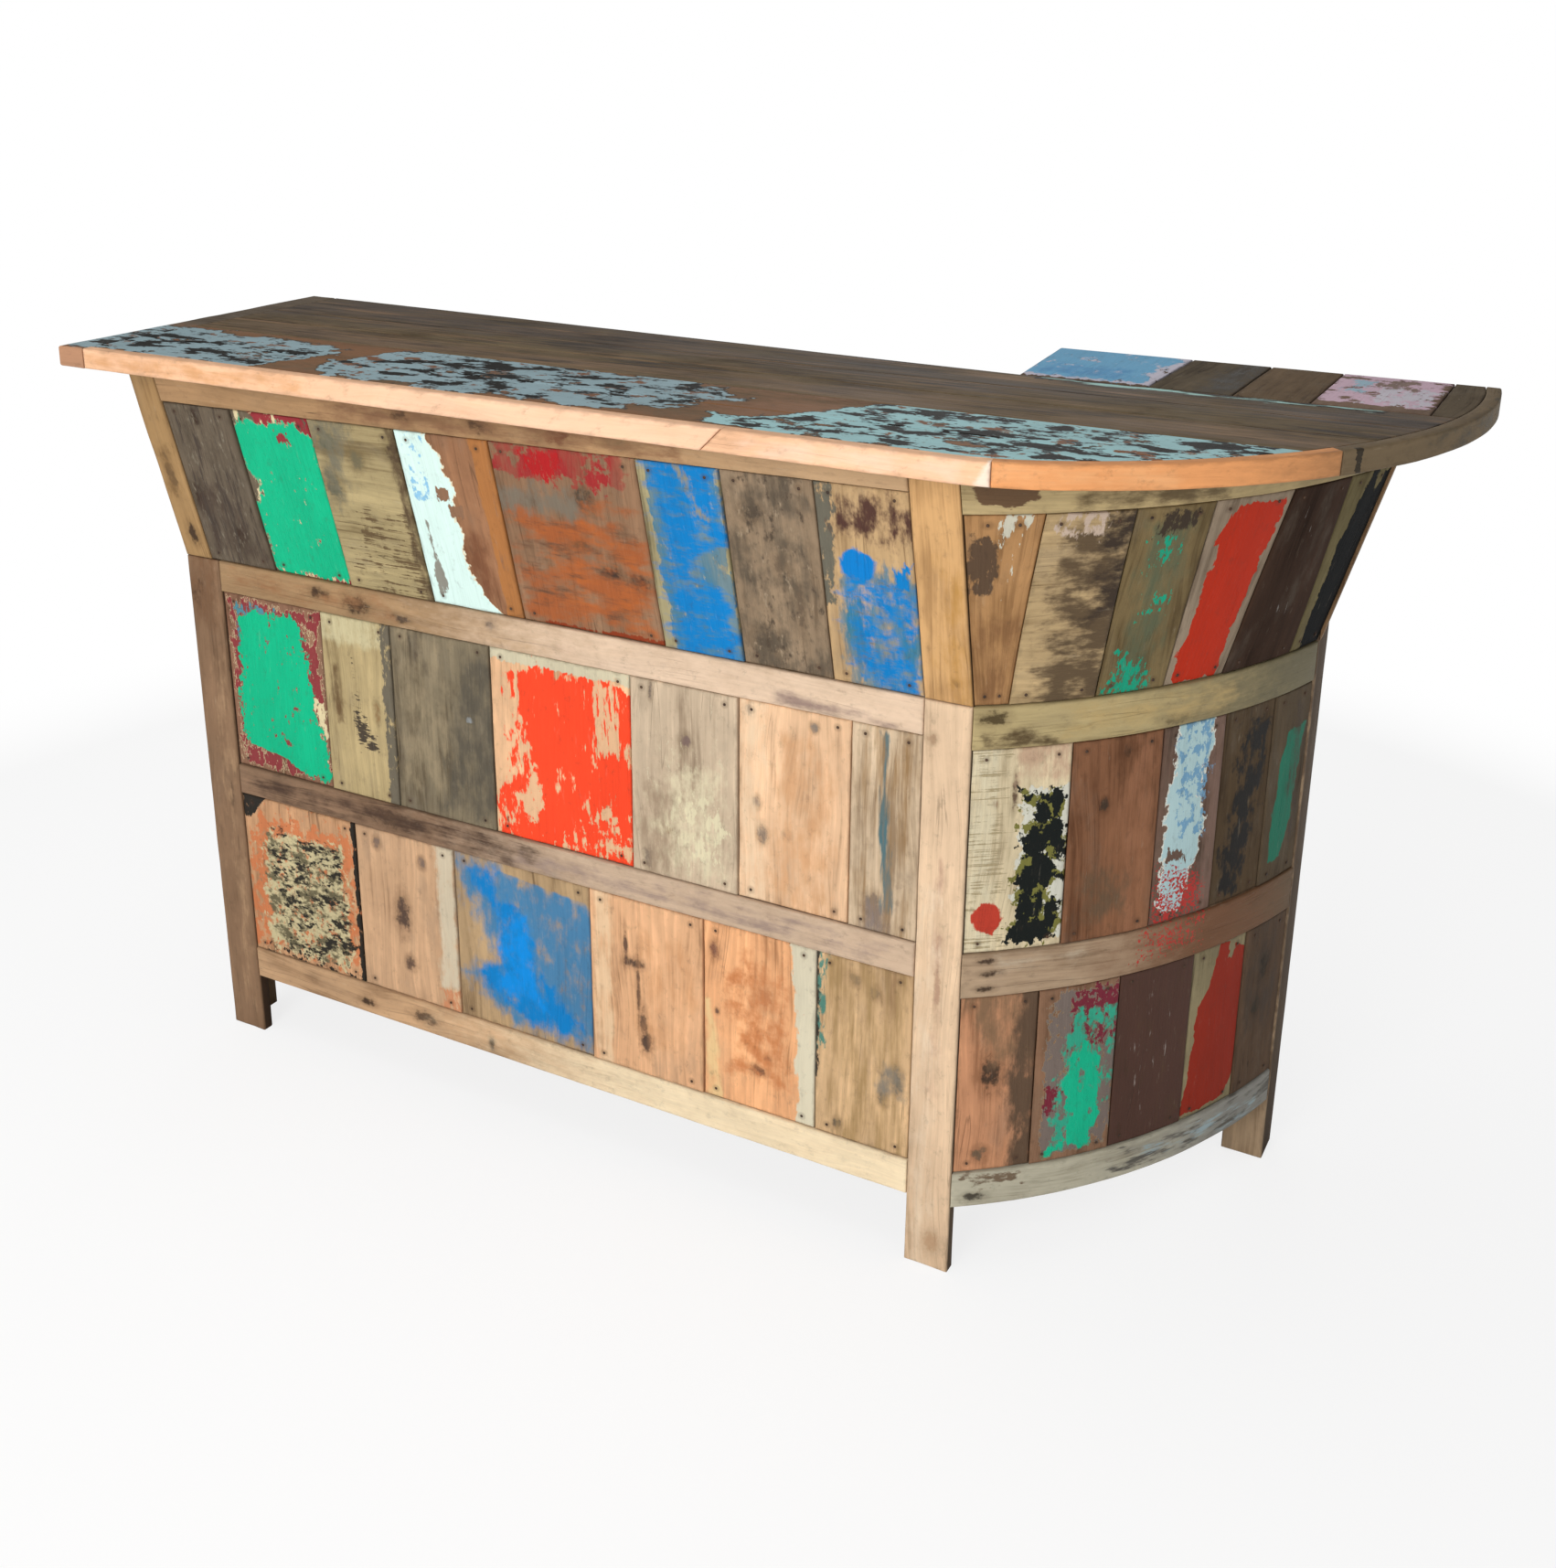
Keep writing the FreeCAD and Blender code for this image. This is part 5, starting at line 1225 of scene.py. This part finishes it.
joint_turn = math.atan2(top_front - curve_centre.y, curve_start.x - curve_centre.x)
tip_turn = math.asin((top_back - curve_centre.y) / curve_radius)
front_band_scarf_share = 0.79
tip_band_angle_share = 0.45
tip_joint_turn = joint_turn + (tip_turn - joint_turn) * tip_band_angle_share
leg_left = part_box("front_left_leg")[0].x
scarf_run = front_band_scarf_share * (bow_start_x - leg_left) + leg_left - left_x(top_front, left_band)
salmon = "F2C099"
fresh_orange = "E59E66"
# The drifts make the left front band lighter toward its right end and the curve band darker toward the tip: partly the
# wood's own colour, partly painted light and shade.
band_coats = {
    "front_band_left": [light_and_colour_drift("F9CDAC", 0.3, 1.0, 0.4),
                        stain("E0A878", patch(0, 1, 0.0, 0.4), 0.6, 0.01, flake=(160, 14))],
    "front_band_right": [stain("F9CFB0", patch(0, 1, 0.1, 0.9), 0.3, 0.01, flake=(160, 14)),
                         stain("FBE2CC", ((0.955, -0.5, 0.1), (0.99, -0.5, 1.0), (1.1, -0.5, 1.5)), -0.4, 0.006)],
    "curve_band": [light_and_colour_drift("A5764E", 0.55, 1.0, 0.25),
                   stain("F2B078", patch(0, 1, 0.0, 0.5), 0.4, 0.01, flake=(160, 14))],
    "tip_band": [coat("3A3226", patch(-1, 2, 0.045, 0.055), -1.0, 0.002, 0.4),
                 stain("4E4636", patch(-1, 2, 0.4, 1.1), 0.2, 0.1)]}
band_runs = (("front_band_left", "front_edge_bands", 0.0, scarf_run, salmon, 0.0, 1.0),
             ("front_band_right", "front_edge_bands", scarf_run, run_at(joint_turn), salmon, 1.0, 0.0),
             ("curve_band", "curve_edge_band", run_at(joint_turn), run_at(tip_joint_turn), fresh_orange, 0.0, 0.0),
             ("tip_band", "tip_edge_band", run_at(tip_joint_turn), run_at(tip_turn), "75644C", 0.0, 0.0))
for seed, (name, node, start, end, code, slant_start, slant_end) in enumerate(band_runs, 90):
    length = end - start

    def band_place(a, b, d, start=start, length=length, slant_start=slant_start, slant_end=slant_end):
        lag = (top_thickness - a) * (slant_start * (1 - b / length) + slant_end * b / length)
        point, inward = edge_path(start + b - lag)
        point = point + inward * d
        return Vector((point.x, point.y, under_top + a))

    finish = timber(name + "_finish", grades(code, 0.4), seed, top_thickness, length, coats=band_coats[name],
                    streak=0.12, figure=0.3, edge_grime_and_shade=0.25, grey=0.03)
    piece = board(name, band_place, top_thickness, length, band, finish, seed, worn=0.0022, warp=0.0004)
    fitted(piece, "edge_wood", node)

left_band_inset, left_band_gap = 0.0001, 0.0006
length = math.hypot(main_left_depth, left_skew)


def left_band_place(a, b, d):
    y = top_front + main_left_depth * b / length
    return Vector((left_x(y, left_band_inset) + a, y, counter_top - d))


left_finish = timber(
    "left_band_finish", grades("5E5244"), 95, main_right_depth, top_length, source=flat_x, streak=0.5, edge_grime_and_shade=0.0,
    coats=[*top_coats, coat("B98A6A", ((-0.1, -9, 0.006), (1.1, -9, 0.006)), -1.0, 0.003, 0.6, soft=0.8, through=True)])
left_piece = board("left_band", left_band_place, left_band - left_band_gap, length, top_thickness, left_finish, 95,
                   worn=0.003)
fitted(left_piece, "edge_wood", "left_edge_band")


# Studio: a pale floor that keeps the counter's shadow and clears to white away from it, under a white sky.
# Three soft lamps stand at the front, overhead and behind, and the camera is the photograph's, from its fit.
white = (1.0, 1.0, 1.0, 1.0)
floor_reach = 14.0
floor_grey = 0.94
floor_clear = 0.8
floor_fade = (0.8, 2.4)
sky_level = 0.4
floor_mesh = bpy.data.meshes.new("floor")
corners = [(x * floor_reach, y * floor_reach, 0) for x, y in ((-1, -1), (1, -1), (1, 1), (-1, 1))]
floor_mesh.from_pydata(corners, [], [(0, 1, 2, 3)])
floor = bpy.data.objects.new("floor", floor_mesh)
bpy.context.scene.collection.objects.link(floor)
floor_paint = bpy.data.materials.new("floor_paint")
floor_paint.use_nodes = True
floor_tree = floor_paint.node_tree
floor_spot = Shade(floor_tree, None).node("TexCoord", {}, output=3)
far = floor_spot.node("VectorMath", {0: floor_spot}, output=1, operation="LENGTH").rise(*floor_fade)
floor_shader = floor_tree.nodes["Principled BSDF"]
floor_shader.inputs["Base Color"].default_value = (floor_grey, floor_grey, floor_grey, 1)
floor_shader.inputs["Roughness"].default_value = 0.9
floor_shader.inputs["Specular IOR Level"].default_value = 0.1
camera_ray = far.node("LightPath", {})
cleared = far.most(camera_ray * floor_clear)
glow = far.node("Emission", {"Color": white, "Strength": 1.0})
blend = far.node("MixShader", {0: cleared, 2: glow})
floor_tree.links.new(floor_shader.outputs[0], blend.socket.node.inputs[1])
floor_tree.links.new(blend.socket, floor_tree.nodes["Material Output"].inputs["Surface"])
floor_mesh.materials.append(floor_paint)

world = bpy.data.worlds.new("studio")
bpy.context.scene.world = world
world.use_nodes = True
world_tree = world.node_tree
rays = Shade(world_tree, None).node("LightPath", {})
rays_through = Shade(world_tree, rays.socket.node.outputs["Is Transmission Ray"])
seen = rays.most(rays_through)
backdrop = world_tree.nodes["Background"]
backdrop.inputs["Color"].default_value = white
world_tree.links.new((seen * (1 - sky_level) + sky_level).socket, backdrop.inputs["Strength"])


def soft_lamp(name, place, target, size, power):
    lamp = bpy.data.lights.new(name, "AREA")
    lamp.shape = "DISK"
    lamp.size = size
    lamp.energy = power
    holder = bpy.data.objects.new(name, lamp)
    holder.location = place
    holder.rotation_euler = (Vector(target) - Vector(place)).to_track_quat("-Z", "Y").to_euler()
    bpy.context.scene.collection.objects.link(holder)


soft_lamp("key", (0.0, -3.4, 1.9), (0.1, 0.0, 0.6), 2.0, 67)
soft_lamp("overhead", (-0.6, -0.6, 4.0), (0.0, 0.0, 0.8), 2.6, 32)
soft_lamp("back", (-0.8, 3.4, 2.2), (0.0, 0.2, 0.7), 2.4, 12)

focal_pixels = 1859.0
image_height = 1715.0
principal_row = 650.0
sensor = 36.0
view = bpy.data.cameras.new("view")
view.sensor_width = sensor
view.lens = focal_pixels / image_height * sensor
view.shift_y = (principal_row - image_height / 2) / image_height
camera = bpy.data.objects.new("view", view)
right = Vector((0.88295, 0.46941, 0.00802))
down = Vector((0.15262, -0.27082, -0.95045))
ahead = Vector((-0.44398, 0.84042, -0.31076))
eye = Vector((1.07368, -1.91480, 1.50376))
camera.matrix_world = Matrix.Translation(eye) @ Matrix((right, -down, -ahead)).transposed().to_4x4()
bpy.context.scene.collection.objects.link(camera)
bpy.context.scene.camera = camera
bpy.context.scene.view_settings.view_transform = "Standard"
